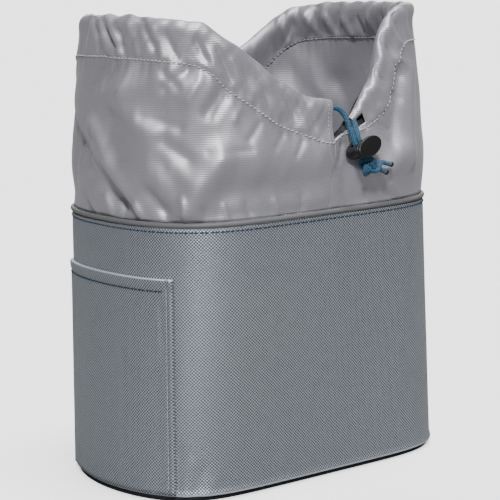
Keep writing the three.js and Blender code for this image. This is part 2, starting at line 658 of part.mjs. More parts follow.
function lockPoint(side, up, out) {
  return new THREE.Vector3(LOCK.x, LOCK.y, LOCK.z)
    .addScaledVector(lockSide, side)
    .addScaledVector(lockUp, up)
    .addScaledVector(lockOut, out);
}
function ovalRing(halfWidth, halfHeight, along) {
  const ring = [];
  for (let i = 0; i < 20; i += 1) {
    const angle = (i / 20) * Math.PI * 2;
    ring.push(lockPoint(halfWidth * Math.cos(angle), halfHeight * Math.sin(angle), along));
  }
  return ring;
}
function ovalBody(rings) {
  const count = 20;
  const positions = rings.flat().flatMap((v) => [v.x, v.y, v.z]);
  const index = [];
  for (let r = 0; r < rings.length - 1; r += 1) {
    for (let j = 0; j < count; j += 1) {
      const k = (j + 1) % count;
      const a = r * count;
      const b = (r + 1) * count;
      index.push(a + j, b + j, b + k, a + j, b + k, a + k);
    }
  }
  const end = (rings.length - 1) * count;
  for (let j = 1; j < count - 1; j += 1) {
    index.push(0, j, j + 1);
    index.push(end, end + j + 1, end + j);
  }
  return finished(positions, index);
}

const Module = (await import('manifold-3d')).default;
const wasm = await Module();
wasm.setup();

function toManifold(geometry) {
  return new wasm.Manifold(new wasm.Mesh({
    numProp: 3,
    vertProperties: new Float32Array(geometry.attributes.position.array),
    triVerts: new Uint32Array(geometry.index.array),
  }));
}
function fromManifold(solid) {
  const mesh = solid.getMesh();
  return finished(Array.from(mesh.vertProperties), Array.from(mesh.triVerts));
}
function slotBox(start) {
  const box = wasm.Manifold.cube([SLOT_HALF_WIDTH * 2, 40, SLOT_LENGTH], true);
  const place = new THREE.Matrix4().makeBasis(lockSide, lockUp, lockOut);
  place.setPosition(lockPoint(0, 0, start + SLOT_LENGTH / 2));
  return box.transform(place.elements);
}

const { halfWidth: lockW, halfHeight: lockH, wall: lockWall } = LOCK;
const barrelOuter = toManifold(ovalBody([
  ovalRing(lockW - 0.9, lockH - 0.9, 0),
  ovalRing(lockW, lockH, 0.9),
  ovalRing(lockW, lockH, 1.9),
  ovalRing(lockW - 0.5, lockH - 0.5, 2.5),
  ovalRing(lockW - 0.5, lockH - 0.5, BARREL_LENGTH - 2.2),
  ovalRing(lockW, lockH, BARREL_LENGTH - 1.4),
  ovalRing(lockW, lockH, BARREL_LENGTH),
]));
const bore = toManifold(ovalBody([
  ovalRing(lockW - 0.5 - lockWall, lockH - 0.5 - lockWall, 1.3),
  ovalRing(lockW - 0.5 - lockWall, lockH - 0.5 - lockWall, BARREL_LENGTH + 1),
]));
const barrel = barrelOuter.subtract(bore).subtract(slotBox(SLOT_START));
add('lock_barrel', fromManifold(barrel), 'lock', 0.5);

const stemW = lockW - 0.5 - lockWall - GAP;
const stemH = lockH - 0.5 - lockWall - GAP;
const capStart = BUTTON_FACE - BUTTON_CAP;
const buttonSolid = toManifold(ovalBody([
  ovalRing(stemW, stemH, 1.3 + GAP + BUTTON_TRAVEL),
  ovalRing(stemW, stemH, capStart),
  ovalRing(BUTTON_HALF.width - 0.4, BUTTON_HALF.height - 0.4, capStart + 0.1),
  ovalRing(BUTTON_HALF.width, BUTTON_HALF.height, capStart + 0.6),
  ovalRing(BUTTON_HALF.width, BUTTON_HALF.height, BUTTON_FACE - 1.2),
  ovalRing(BUTTON_HALF.width - 1, BUTTON_HALF.height - 1, BUTTON_FACE - 0.3),
  ovalRing(BUTTON_HALF.width - 3.4, BUTTON_HALF.height - 3.2, BUTTON_FACE),
]));
const button = buttonSolid.subtract(slotBox(SLOT_START + BUTTON_TRAVEL));
add('lock_button', fromManifold(button), 'lock', 0.45);

// Strap loops on the hidden back: flat against the wall, round behind, upright with the wall's slope
function loopShape(radius, flat) {
  const reach = Math.acos(-flat / radius);
  const corners = [];
  const steps = 22;
  for (let i = 0; i <= steps; i += 1) {
    const angle = lerp(-reach, reach, i / steps);
    corners.push(new THREE.Vector2(radius * Math.cos(angle), radius * Math.sin(angle)));
  }
  return corners;
}
function strapLoop(side) {
  const shape = new THREE.Shape(loopShape(LOOP.radius + LOOP.thick, LOOP.flat + LOOP.thick));
  shape.holes.push(new THREE.Path(loopShape(LOOP.radius, LOOP.flat).reverse()));
  const geometry = new THREE.ExtrudeGeometry(shape, { depth: LOOP.width, bevelEnabled: false, steps: 1 });
  // Shape x becomes +Y (away from the wall), shape y becomes +Z, depth becomes X
  geometry.translate(0, 0, -LOOP.width / 2);
  const turn = new THREE.Matrix4().makeBasis(
    new THREE.Vector3(0, 1, 0),
    new THREE.Vector3(0, 0, 1),
    new THREE.Vector3(1, 0, 0),
  );
  geometry.applyMatrix4(turn);
  const low = wallPoint(0.5 + side * 0.05, LOOP.z - 12, WALL_OUT);
  const high = wallPoint(0.5 + side * 0.05, LOOP.z + 12, WALL_OUT);
  geometry.rotateX(-Math.atan2(high.y - low.y, 24));
  const wall = wallPoint(0.5, LOOP.z, WALL_OUT);
  geometry.translate(-side * LOOP.x, wall.y + LOOP.flat + LOOP.thick + GAP + 0.4, LOOP.z);
  return geometry;
}
add('strap_loop_left', strapLoop(1), 'strap', 0.8);
add('strap_loop_right', strapLoop(-1), 'strap', 0.8);

export default bag;
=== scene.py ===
import math

import bmesh
import bpy
import numpy as np
from bpy.props import FloatProperty, FloatVectorProperty, PointerProperty
from mathutils import Matrix, Vector, noise


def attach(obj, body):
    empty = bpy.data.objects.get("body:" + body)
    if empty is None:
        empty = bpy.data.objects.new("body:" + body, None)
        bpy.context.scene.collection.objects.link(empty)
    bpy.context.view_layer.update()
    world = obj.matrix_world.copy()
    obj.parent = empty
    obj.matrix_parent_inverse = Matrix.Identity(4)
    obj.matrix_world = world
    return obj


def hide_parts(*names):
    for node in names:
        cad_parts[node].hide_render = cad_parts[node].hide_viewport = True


bl_info = {
    "name": "Handlebar bag",
    "version": (1, 0, 0),
    "blender": (4, 5, 0),
    "location": "View3D > Sidebar > Bag",
    "description": "Builds the looks of a handlebar bag with a drawcord collar around its CAD frame",
    "category": "Add Mesh",
}

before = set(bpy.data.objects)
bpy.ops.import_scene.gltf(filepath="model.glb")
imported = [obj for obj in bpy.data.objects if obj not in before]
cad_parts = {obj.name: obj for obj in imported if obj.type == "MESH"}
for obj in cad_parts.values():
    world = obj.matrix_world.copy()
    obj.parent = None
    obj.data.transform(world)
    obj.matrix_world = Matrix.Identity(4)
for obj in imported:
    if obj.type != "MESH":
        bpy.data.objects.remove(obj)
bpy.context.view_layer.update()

# Half of the top outline's length in mm, the scale of the unrolled cloth
HALF_LOOP = 330.2
# Powers of the rounded-rectangle outlines, across and along
TOP_POWERS = (4.94, 2.32)
FOOT_POWERS = (6.15, 1.9)
# The piping's radius, the wall's top edge below its centre, the wall's outer face and the gap to the
# next piece, in mm
PIPING_RADIUS = 1.6
WALL_UNDER_PIPING = 1.9
WALL_FACE = 0.6
GAP = 0.3
# The pocket's thickness and its hem stitches below its top edge, in mm
POCKET_THICK = 1.3
POCKET_HEM = 7.6
# How far from the front centre the front seam ends at its top, as a share of half the way round
FRONT_SEAM = 0.013
# Where the cord runs in the hem channels, as a share of their height
CORD_HEIGHT_SHARE = 0.79
# Rows of points up each collar panel, below its hem channel
PANEL_ROWS = 44
# Strap loops in mm: place, half width, inner radius, flat side, thickness and clearance to the wall
LOOP_X, LOOP_HEIGHT, LOOP_HALF_WIDTH = 33.0, 122.0, 11
LOOP_RADIUS, LOOP_FLAT, LOOP_THICK, LOOP_CLEAR = 16.8, 14.2, 2.0, 0.7
# The photo's camera: focal length in pixels, picture and sensor size, distance in metres
FOCAL_PIXELS, PICTURE, SENSOR, CAMERA_DISTANCE = 1784.2, 500, 36, 1.1559

# Hem lines of the collar: shares of half the way round from the front centre and of the collar's rise.
# Columns: stitch arc, stitch height, rim arc, rim height.
BACK_HEM = [
    (0.500, 0.798, 0.500, 1.000),
    (0.580, 0.794, 0.580, 1.000),
    (0.640, 0.789, 0.645, 0.992),
    (0.690, 0.777, 0.690, 0.977),
    (0.722, 0.745, 0.722, 0.955),
    (0.748, 0.695, 0.748, 0.925),
    (0.772, 0.636, 0.774, 0.880),
    (0.802, 0.578, 0.806, 0.822),
    (0.842, 0.515, 0.842, 0.755),
    (0.890, 0.445, 0.890, 0.670),
    (0.950, 0.382, 0.950, 0.603),
    (1.000, 0.355, 1.000, 0.575),
]
LEFT_HEM = [
    (-0.013, 0.340, -0.018, 0.552),
    (0.015, 0.352, 0.012, 0.565),
    (0.052, 0.393, 0.047, 0.592),
    (0.110, 0.458, 0.100, 0.670),
    (0.160, 0.547, 0.150, 0.778),
    (0.205, 0.630, 0.194, 0.855),
    (0.236, 0.708, 0.226, 0.915),
    (0.262, 0.753, 0.254, 0.956),
    (0.294, 0.774, 0.290, 0.977),
    (0.333, 0.783, 0.333, 0.984),
    (0.376, 0.790, 0.376, 0.992),
    (0.440, 0.794, 0.440, 1.000),
]
RIGHT_HEM = [
    (0.083, 0.392, 0.061, 0.457),
    (0.105, 0.412, 0.090, 0.560),
    (0.126, 0.440, 0.108, 0.612),
    (0.145, 0.478, 0.122, 0.652),
    (0.160, 0.535, 0.132, 0.718),
    (0.171, 0.608, 0.142, 0.798),
    (0.182, 0.690, 0.160, 0.893),
    (0.197, 0.756, 0.182, 0.958),
    (0.224, 0.804, 0.214, 0.990),
    (0.264, 0.812, 0.258, 1.000),
    (0.333, 0.806, 0.333, 1.000),
    (0.416, 0.800, 0.416, 1.000),
]
# The right hem's inner layer as it runs on to the seam behind the lip
RIGHT_MOUTH = [
    (0.013, 0.348, 0.020, 0.372),
    (0.030, 0.372, 0.036, 0.402),
    (0.050, 0.384, 0.048, 0.430),
    (0.068, 0.388, 0.055, 0.446),
]

# How far the outer face stands off the piping's centre line, in mm: height share, left, right
FULLNESS = [
    (0.00, -0.7, -0.6),
    (0.12, 0.2, 0.4),
    (0.28, 1.0, 1.0),
    (0.42, 0.8, 0.7),
    (0.58, 0.1, -0.1),
    (0.74, -1.2, -2.2),
    (0.88, -2.2, -4.0),
    (1.00, -2.6, -3.2),
]

# The left back corner is drawn in: arc and reach in shares, depth at the foot and at the rim in mm
DRAW_IN = (0.68, 0.13, 1.8, 7.6)

# Folds: from signed arc, height, to arc, height (shares), half width and rise in mm
FOLDS = [
    (-0.603, 0.364, -0.418, 0.066, 8, -3.0),
    (-0.516, 0.466, -0.405, 0.070, 6, 2.2),
    (-0.480, 0.628, -0.306, 0.688, 9, 1.8),
    (-0.325, 0.659, -0.283, 0.738, 4, -1.8),
    (-0.250, 0.542, -0.224, 0.629, 4, -1.6),
    (-0.331, 0.402, -0.290, 0.317, 5, -1.5),
    (-0.435, 0.571, -0.329, 0.411, 7, 1.2),
    (-0.292, 0.053, -0.230, 0.311, 8, 2.2),
    (-0.213, 0.150, -0.017, 0.165, 11, -2.0),
    (-0.204, 0.085, -0.020, 0.080, 6, 1.0),
    (-0.240, 0.330, -0.030, 0.330, 12, 1.2),
    (-0.366, 0.143, -0.335, 0.065, 5, -1.6),
    (-0.331, 0.291, -0.304, 0.173, 6, -1.2),
    (0.184, 0.274, 0.128, 0.165, 7, 1.6),
    (0.190, 0.619, 0.156, 0.321, 5, -1.6),
    (0.230, 0.661, 0.198, 0.208, 6, 1.6),
    (0.031, 0.201, 0.053, 0.045, 8, -1.8),
    (0.363, 0.579, 0.454, 0.174, 9, -2.0),
    (0.606, 0.538, 0.545, 0.174, 9, 2.0),
    (0.712, 0.377, 0.757, 0.134, 9, -2.0),
    (0.878, 0.255, 0.793, 0.077, 8, 1.8),
    (-0.681, 0.579, -0.621, 0.215, 9, -2.0),
    (-0.757, 0.336, -0.818, 0.093, 9, 2.0),
    (-0.909, 0.296, -0.863, 0.093, 8, -1.6),
]

# Small sharp creases of the visible cloth, in the same columns
CREASES = [
    (-0.399, 0.089, -0.387, 0.023, 2.4, 1.2),
    (-0.297, 0.125, -0.291, 0.019, 2.4, 1.3),
    (-0.544, 0.100, -0.523, 0.025, 2.6, 1.1),
    (-0.345, 0.075, -0.330, 0.020, 2.2, -0.9),
    (-0.262, 0.070, -0.256, 0.020, 2.2, -0.8),
    (-0.225, 0.085, -0.218, 0.020, 2.4, 0.7),
    (-0.180, 0.080, -0.172, 0.020, 2.4, -0.7),
    (-0.120, 0.090, -0.114, 0.020, 2.6, 0.6),
    (-0.062, 0.085, -0.058, 0.020, 2.4, -0.6),
    (-0.455, 0.115, -0.440, 0.025, 2.4, -1.0),
    (-0.490, 0.105, -0.476, 0.025, 2.4, 0.9),
    (-0.372, 0.520, -0.300, 0.470, 2.4, -0.5),
    (-0.250, 0.345, -0.175, 0.350, 2.0, -0.5),
    (-0.330, 0.735, -0.300, 0.660, 2.6, -0.9),
    (-0.214, 0.600, -0.236, 0.520, 2.4, -0.9),
    (-0.150, 0.470, -0.176, 0.400, 2.4, -0.8),
    (-0.100, 0.400, -0.122, 0.345, 2.4, -0.7),
    (-0.060, 0.360, -0.075, 0.300, 2.2, -0.6),
    (-0.190, 0.545, -0.200, 0.500, 2.0, 0.6),
    (-0.262, 0.690, -0.282, 0.600, 2.6, 0.8),
    (-0.400, 0.760, -0.420, 0.640, 3.0, 0.9),
    (-0.450, 0.770, -0.470, 0.660, 3.0, -0.8),
    (0.148, 0.098, 0.181, 0.017, 2.6, 1.1),
    (0.120, 0.110, 0.150, 0.020, 2.4, -0.8),
    (0.090, 0.075, 0.100, 0.020, 2.2, 0.6),
    (0.176, 0.700, 0.200, 0.640, 2.4, -1.0),
    (0.186, 0.725, 0.214, 0.700, 2.2, 0.9),
    (0.160, 0.560, 0.190, 0.520, 2.2, -0.7),
    (0.130, 0.440, 0.150, 0.380, 2.4, -0.7),
    (0.100, 0.385, 0.112, 0.330, 2.2, 0.6),
    (0.060, 0.345, 0.064, 0.290, 2.2, -0.6),
    (0.030, 0.320, 0.024, 0.240, 2.4, -0.8),
    (-0.004, 0.330, 0.010, 0.240, 1.8, 0.5),
]

# Gathers of the hem channels: the same columns; the pulled cloth leans back from the mouths
GATHERS = [
    (-0.506, 0.802, -0.533, 0.992, 2.6, -1.9),
    (-0.457, 0.854, -0.491, 0.960, 2.6, -2.0),
    (-0.418, 0.808, -0.443, 0.927, 2.4, -1.6),
    (-0.349, 0.853, -0.374, 0.962, 2.4, -1.5),
    (-0.475, 0.810, -0.505, 0.990, 2.8, 1.3),
    (-0.437, 0.812, -0.468, 0.985, 2.8, 1.2),
    (-0.385, 0.805, -0.408, 0.960, 2.8, 1.0),
    (-0.325, 0.790, -0.350, 0.940, 2.6, 0.8),
    (-0.300, 0.790, -0.322, 0.900, 2.2, -1.0),
    (-0.245, 0.787, -0.265, 0.873, 2.4, -1.4),
    (-0.225, 0.720, -0.248, 0.830, 2.2, 1.0),
    (-0.203, 0.688, -0.227, 0.832, 2.2, -1.4),
    (-0.178, 0.640, -0.200, 0.780, 2.4, 0.9),
    (-0.155, 0.600, -0.180, 0.720, 2.2, -1.0),
    (-0.130, 0.599, -0.156, 0.727, 2.4, -1.3),
    (-0.108, 0.520, -0.128, 0.650, 2.4, 0.9),
    (-0.073, 0.491, -0.103, 0.642, 2.2, -1.3),
    (-0.050, 0.440, -0.072, 0.590, 2.2, 0.8),
    (-0.030, 0.430, -0.048, 0.560, 2.0, -0.9),
    (0.102, 0.470, 0.088, 0.530, 2.0, -0.9),
    (0.122, 0.520, 0.104, 0.580, 2.2, -1.2),
    (0.140, 0.560, 0.114, 0.620, 2.2, 0.9),
    (0.156, 0.620, 0.124, 0.680, 2.2, -1.4),
    (0.166, 0.680, 0.136, 0.760, 2.4, 1.1),
    (0.178, 0.750, 0.150, 0.830, 2.4, -1.5),
    (0.192, 0.810, 0.168, 0.890, 2.4, 1.0),
    (0.208, 0.850, 0.190, 0.950, 2.4, -1.4),
    (0.230, 0.850, 0.218, 0.970, 2.4, 1.1),
    (0.252, 0.830, 0.246, 0.970, 2.4, -1.2),
]

# Gathers that show on the inside of the back and right hem, in mm towards the inside
INNER_GATHERS = [
    (0.674, 0.925, 0.640, 0.790, 3.4, 1.8),
    (0.652, 0.784, 0.640, 0.960, 3.0, -1.6),
    (0.618, 0.912, 0.596, 0.800, 3.2, 1.9),
    (0.596, 0.810, 0.575, 0.960, 2.8, -1.6),
    (0.560, 0.900, 0.545, 0.800, 3.0, 1.5),
    (0.705, 0.870, 0.690, 0.780, 3.0, -1.2),
    (0.735, 0.860, 0.722, 0.760, 2.8, 1.2),
    (0.765, 0.800, 0.752, 0.690, 2.8, -1.0),
    (0.520, 0.900, 0.505, 0.800, 2.8, -1.3),
    (0.480, 0.920, 0.470, 0.800, 2.8, 1.3),
    (0.440, 0.920, 0.430, 0.800, 2.8, -1.2),
    (0.400, 0.920, 0.392, 0.800, 2.8, 1.2),
]

# Soft dents of the lower wall: signed arc, height share of the wall, reach and rise in mm
DENTS = [
    (-0.300, 0.10, 16, -0.8),
    (0.140, 0.45, 30, -0.9),
    (0.240, 0.40, 16, 0.7),
    (-0.220, 0.55, 34, 0.8),
    (0.560, 0.50, 34, -1.0),
]

# Puckers of the lower wall: arc, height, to arc, height (shares), half width and rise in mm
PUCKERS = [
    (-0.318, 0.030, -0.312, 0.200, 2.6, -0.50),
    (-0.300, 0.030, -0.290, 0.150, 2.4, 0.35),
    (-0.284, 0.030, -0.266, 0.130, 2.4, -0.35),
    (-0.262, 0.030, -0.240, 0.100, 2.4, 0.25),
    (0.185, 0.250, 0.190, 0.900, 5.0, 0.35),
    (0.204, 0.250, 0.208, 0.850, 4.0, -0.30),
    (-0.345, 0.740, -0.338, 0.560, 2.2, -0.35),
    (-0.352, 0.700, -0.350, 0.500, 2.0, 0.25),
]

# The pocket's back and front edges, as shares of the way round the wall
POCKET_FROM, POCKET_TO = 60 / 90, 75.7 / 90

# Wrinkles of the collar: rise in mm, lean, reach along and up in mm, seed
WRINKLES = [(3.4, 0.3, 30, 46, 3.1), (1.3, -0.35, 15, 26, 7.7), (0.35, 0.0, 6, 11, 1.4)]
# The full cloth's belly over the piping, in mm: rise, height and reach
BELLY = (3.6, 26, 14)

# The outer layer's cut at the right mouth: up to an arc, from and to a share of the channel's height
MOUTH_CUT = [(0.080, 0.20, 1.00), (0.096, 0.20, 0.60)]
# Up to this arc the mouth is cut open and its inner layer gets a painted shade: a near-black material
MOUTH_CUT_AND_SHADE_END = 0.118

# Section of the hem channel: share of its height, half width in mm
CHANNEL = [
    (0.00, 0.35),
    (0.08, 0.55),
    (0.22, 1.00),
    (0.42, 1.90),
    (0.62, 2.90),
    (0.78, 3.45),
    (0.90, 2.90),
    (0.97, 1.60),
    (1.00, 0.00),
]

# Cord routes in metres
CORD_LEFT = [
    (0.0010, -0.0800, 0.2312), (0.0072, -0.0806, 0.2318), (0.0096, -0.0814, 0.2314),
    (0.0116, -0.0826, 0.2299), (0.0130, -0.0846, 0.2268), (0.0139, -0.0868, 0.2220),
    (0.0144, -0.0890, 0.2168), (0.0150, -0.0909, 0.2112), (0.0163, -0.0916, 0.2081),
    (0.0174, -0.0923, 0.2054), (0.0186, -0.0930, 0.2027), (0.0197, -0.0937, 0.2000),
]
CORD_RIGHT = [
    (0.0252, -0.0796, 0.2254), (0.0232, -0.0803, 0.2240), (0.0222, -0.0822, 0.2222),
    (0.0212, -0.0850, 0.2192), (0.0199, -0.0880, 0.2161), (0.0187, -0.0905, 0.2126),
    (0.0198, -0.0913, 0.2095), (0.0210, -0.0920, 0.2068), (0.0221, -0.0926, 0.2041),
    (0.0232, -0.0934, 0.2012),
]

# The lock's middle of the back face, and its tilt and roll in degrees
LOCK_AT = Vector((0.0192, -0.0854, 0.2044))
LOCK_TILT = math.radians(14)
LOCK_ROLL = math.radians(22)
LOCK_LEVEL = Vector((1, 0, 0))
LOCK_UPRIGHT = Vector((0, math.sin(LOCK_TILT), math.cos(LOCK_TILT)))
LOCK_OUT = Vector((0, -math.cos(LOCK_TILT), math.sin(LOCK_TILT)))
LOCK_SIDE = LOCK_LEVEL * math.cos(LOCK_ROLL) + LOCK_UPRIGHT * math.sin(LOCK_ROLL)
LOCK_UP = LOCK_UPRIGHT * math.cos(LOCK_ROLL) - LOCK_LEVEL * math.sin(LOCK_ROLL)


class BagSettings(bpy.types.PropertyGroup):
    top_half_width: FloatProperty(
        name="Top half width", description="Half width at the piping", default=0.1092, unit="LENGTH"
    )
    top_half_depth: FloatProperty(
        name="Top half depth", description="Half depth at the piping", default=0.0826, unit="LENGTH"
    )
    foot_half_width: FloatProperty(
        name="Foot half width", description="Half width at the hem", default=0.1184, unit="LENGTH"
    )
    foot_half_depth: FloatProperty(
        name="Foot half depth", description="Half depth at the hem", default=0.0732, unit="LENGTH"
    )
    base_rise: FloatProperty(
        name="Base rise", description="Height of the grey hem above the floor", default=0.0035, unit="LENGTH"
    )
    piping_height: FloatProperty(
        name="Piping height", description="Height of the piping's centre", default=0.1685, unit="LENGTH"
    )
    rim_height: FloatProperty(
        name="Rim height", description="Height of the rim at both ends", default=0.292, unit="LENGTH"
    )
    pocket_top: FloatProperty(
        name="Pocket top", description="Height of the pocket's top edge", default=0.1365, unit="LENGTH"
    )
    cord_diameter: FloatProperty(
        name="Cord diameter", description="Diameter of the drawcord", default=0.0034, unit="LENGTH"
    )
    stitch_pitch: FloatProperty(
        name="Stitch pitch", description="Length from one stitch to the next", default=0.0031, unit="LENGTH"
    )
    woven: FloatVectorProperty(
        name="Woven wall", description="Colour of the lower wall", subtype="COLOR",
        default=(0.205, 0.226, 0.252),
    )
    nylon: FloatVectorProperty(
        name="Collar", description="Colour of the collar", subtype="COLOR", default=(0.446, 0.439, 0.481)
    )
    piping: FloatVectorProperty(
        name="Piping", description="Colour of the piping", subtype="COLOR", default=(0.155, 0.155, 0.160)
    )
    base: FloatVectorProperty(
        name="Base", description="Colour of the base panel", subtype="COLOR", default=(0.008, 0.008, 0.010)
    )
    cord: FloatVectorProperty(
        name="Cord", description="Colour of the drawcord", subtype="COLOR", default=(0.006, 0.046, 0.090)
    )
    lock: FloatVectorProperty(
        name="Cord lock", description="Colour of the cord lock", subtype="COLOR",
        default=(0.006, 0.006, 0.007),
    )
    strap: FloatVectorProperty(
        name="Straps", description="Colour of the strap loops", subtype="COLOR", default=(0.012, 0.012, 0.014)
    )
    thread_dark: FloatVectorProperty(
        name="Dark thread", description="Colour of the wall's stitches", subtype="COLOR",
        default=(0.008, 0.026, 0.070),
    )
    thread_light: FloatVectorProperty(
        name="Light thread", description="Colour of the collar's stitches", subtype="COLOR",
        default=(0.46, 0.46, 0.48),
    )


def settings():
    return bpy.context.scene.bag


# Shape functions, in millimetres
def read_table(rows, x, column, key=0):
    """One column of a table at x along its key column, through smooth cubic pieces."""
    table = np.array(rows, float)
    xs, ys = table[:, key], table[:, column]
    x = np.asarray(x, float)
    last = len(xs) - 1
    slopes = np.empty(last + 1)
    slopes[1:-1] = (ys[2:] - ys[:-2]) / (xs[2:] - xs[:-2])
    slopes[0] = (ys[1] - ys[0]) / (xs[1] - xs[0])
    slopes[-1] = (ys[-1] - ys[-2]) / (xs[-1] - xs[-2])
    i = np.clip(np.searchsorted(xs, x, side="left") - 1, 0, last - 1)
    step = xs[i + 1] - xs[i]
    t = np.clip((x - xs[i]) / step, 0, 1)
    t2, t3 = t * t, t * t * t
    return (
        (2 * t3 - 3 * t2 + 1) * ys[i]
        + (t3 - 2 * t2 + t) * step * slopes[i]
        + (3 * t2 - 2 * t3) * ys[i + 1]
        + (t3 - t2) * step * slopes[i + 1]
    )


def smooth(t):
    c = np.clip(t, 0, 1)
    return c * c * (3 - 2 * c)


class Plan:
    """A rounded-rectangle outline read by share of its length: 0 at the front centre, 0.25 at the right."""

    def __init__(self, half_width, half_depth, p, q):
        angle = np.linspace(-math.pi / 2, 1.5 * math.pi, 1441)
        c, s = np.cos(angle), np.sin(angle)
        self.x = half_width * np.sign(c) * np.abs(c) ** (2 / p)
        self.y = half_depth * np.sign(s) * np.abs(s) ** (2 / q)
        self.lengths = np.r_[0, np.cumsum(np.hypot(np.diff(self.x), np.diff(self.y)))]
        self.total = self.lengths[-1]

    def at(self, share):
        target = (share - np.floor(share)) * self.total
        return np.interp(target, self.lengths, self.x), np.interp(target, self.lengths, self.y)

    def frame(self, share):
        x, y = self.at(share)
        xa, ya = self.at(share - 0.006)
        xb, yb = self.at(share + 0.006)
        length = np.hypot(xb - xa, yb - ya)
        return x, y, (yb - ya) / length, -(xb - xa) / length


def plans():
    b = settings()
    top = Plan(b.top_half_width * 1000, b.top_half_depth * 1000, *TOP_POWERS)
    foot = Plan(b.foot_half_width * 1000, b.foot_half_depth * 1000, *FOOT_POWERS)
    return top, foot


def line_rise(rows, s, z, half_loop, rise_height, crisp=0.0):
    """Sum of folds laid along lines, each a ridge or valley with soft ends and a more or less crisp crest."""
    total = np.zeros_like(s)
    for a0, h0, a1, h1, width, rise in rows:
        s0, z0 = a0 * half_loop, h0 * rise_height
        ds, dz = a1 * half_loop - s0, h1 * rise_height - z0
        length = math.hypot(ds, dz)
        along = ((s - s0) * ds + (z - z0) * dz) / length
        across = np.abs((s - s0) * dz - (z - z0) * ds) / length / width
        past = np.maximum(0, np.maximum(-along, along - length))
        crest = (1 - crisp) * np.exp(-(across**2)) + crisp * np.exp(-1.35 * np.sqrt(across**2 + 0.02))
        total += rise * crest * np.exp(-((past / (width * 1.1)) ** 2))
    return total


def crumple(s, z, scale, seed):
    """Fixed smooth noise over the unrolled cloth."""
    flat = np.column_stack([np.ravel(s) / scale[0], np.ravel(z) / scale[1]])
    values = [noise.noise(Vector((u, v, seed))) for u, v in flat]
    return np.reshape(values, np.shape(s))


# Mesh helpers
def make_mesh(name, points, faces, uvs, material, body, nodes=()):
    """A smooth-shaded piece in metres that rides on a body and stands in for CAD nodes."""
    mesh = bpy.data.meshes.new(name)
    mesh.from_pydata([tuple(p) for p in points], [], faces)
    layer = mesh.uv_layers.new(name="cloth")
    loops = np.zeros(len(mesh.loops), int)
    mesh.loops.foreach_get("vertex_index", loops)
    layer.data.foreach_set("uv", np.asarray(uvs, np.float32)[loops].ravel())
    mesh.polygons.foreach_set("use_smooth", [True] * len(mesh.polygons))
    mesh.update()
    obj = bpy.data.objects.new(name, mesh)
    bpy.context.scene.collection.objects.link(obj)
    obj.data.materials.append(material)
    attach(obj, body)
    if nodes:
        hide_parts(*nodes)
    return obj


def grid_faces(rows, columns, wrap_rows=False, wrap_columns=False):
    faces = []
    for i in range(rows if wrap_rows else rows - 1):
        k = (i + 1) % rows
        for j in range(columns if wrap_columns else columns - 1):
            m = (j + 1) % columns
            faces.append((i * columns + j, k * columns + j, k * columns + m, i * columns + m))
    return faces


def grid_object(name, grid, uv, material, body, nodes=(), wrap_rows=False, wrap_columns=False):
    rows, columns = grid.shape[:2]
    faces = grid_faces(rows, columns, wrap_rows, wrap_columns)
    return make_mesh(
        name, grid.reshape(-1, 3) * 0.001, faces, uv.reshape(-1, 2) * 0.001, material, body, nodes
    )


def tube_grid(path, radius, sides):
    """Rings of a round tube along points, carried without twist."""
    path = np.asarray(path, float)
    tangents = np.gradient(path, axis=0)
    tangents /= np.linalg.norm(tangents, axis=1)[:, None]
    normal = np.cross(tangents[0], (0.31, 0.52, 0.79))
    normal /= np.linalg.norm(normal)
    rings, radii = [], np.broadcast_to(radius, len(path))
    for p, t, r in zip(path, tangents, radii):
        normal = normal - t * normal.dot(t)
        normal /= np.linalg.norm(normal)
        other = np.cross(t, normal)
        angles = np.arange(sides) * 2 * math.pi / sides
        rings.append(p + r * (np.outer(np.cos(angles), normal) + np.outer(np.sin(angles), other)))
    return np.array(rings)


def smooth_path(points, step):
    """A centripetal Catmull-Rom line through points, resampled at even steps."""
    p = np.asarray(points, float)
    ends = np.vstack([2 * p[0] - p[1], p, 2 * p[-1] - p[-2]])
    fine = []
    for i in range(1, len(ends) - 2):
        a, b, c, d = ends[i - 1 : i + 3]
        ta = 0.0
        tb = ta + np.linalg.norm(b - a) ** 0.5
        tc = tb + np.linalg.norm(c - b) ** 0.5
        td = tc + np.linalg.norm(d - c) ** 0.5
        for t in np.linspace(tb, tc, 24, endpoint=False):
            ab = (tb - t) / (tb - ta) * a + (t - ta) / (tb - ta) * b
            bc = (tc - t) / (tc - tb) * b + (t - tb) / (tc - tb) * c
            cd = (td - t) / (td - tc) * c + (t - tc) / (td - tc) * d
            abc = (tc - t) / (tc - ta) * ab + (t - ta) / (tc - ta) * bc
            bcd = (td - t) / (td - tb) * bc + (t - tb) / (td - tb) * cd
            fine.append((tc - t) / (tc - tb) * abc + (t - tb) / (tc - tb) * bcd)
    fine.append(p[-1])
    fine = np.array(fine)
    lengths = np.r_[0, np.cumsum(np.linalg.norm(np.diff(fine, axis=0), axis=1))]
    count = max(2, int(round(lengths[-1] / step)) + 1)
    even = np.linspace(0, lengths[-1], count)
    return np.column_stack([np.interp(even, lengths, fine[:, k]) for k in range(3)]), lengths[-1]


def cap_ends(points, faces, rows, columns, first, last):
    """Close both ends of a tube of rings with fans round two middle points."""
    a, b = rows * columns, rows * columns + 1
    for j in range(columns):
        k = (j + 1) % columns
        faces.append((a, j, k))
        faces.append((b, (rows - 1) * columns + k, (rows - 1) * columns + j))
    return np.vstack([points, first, last])


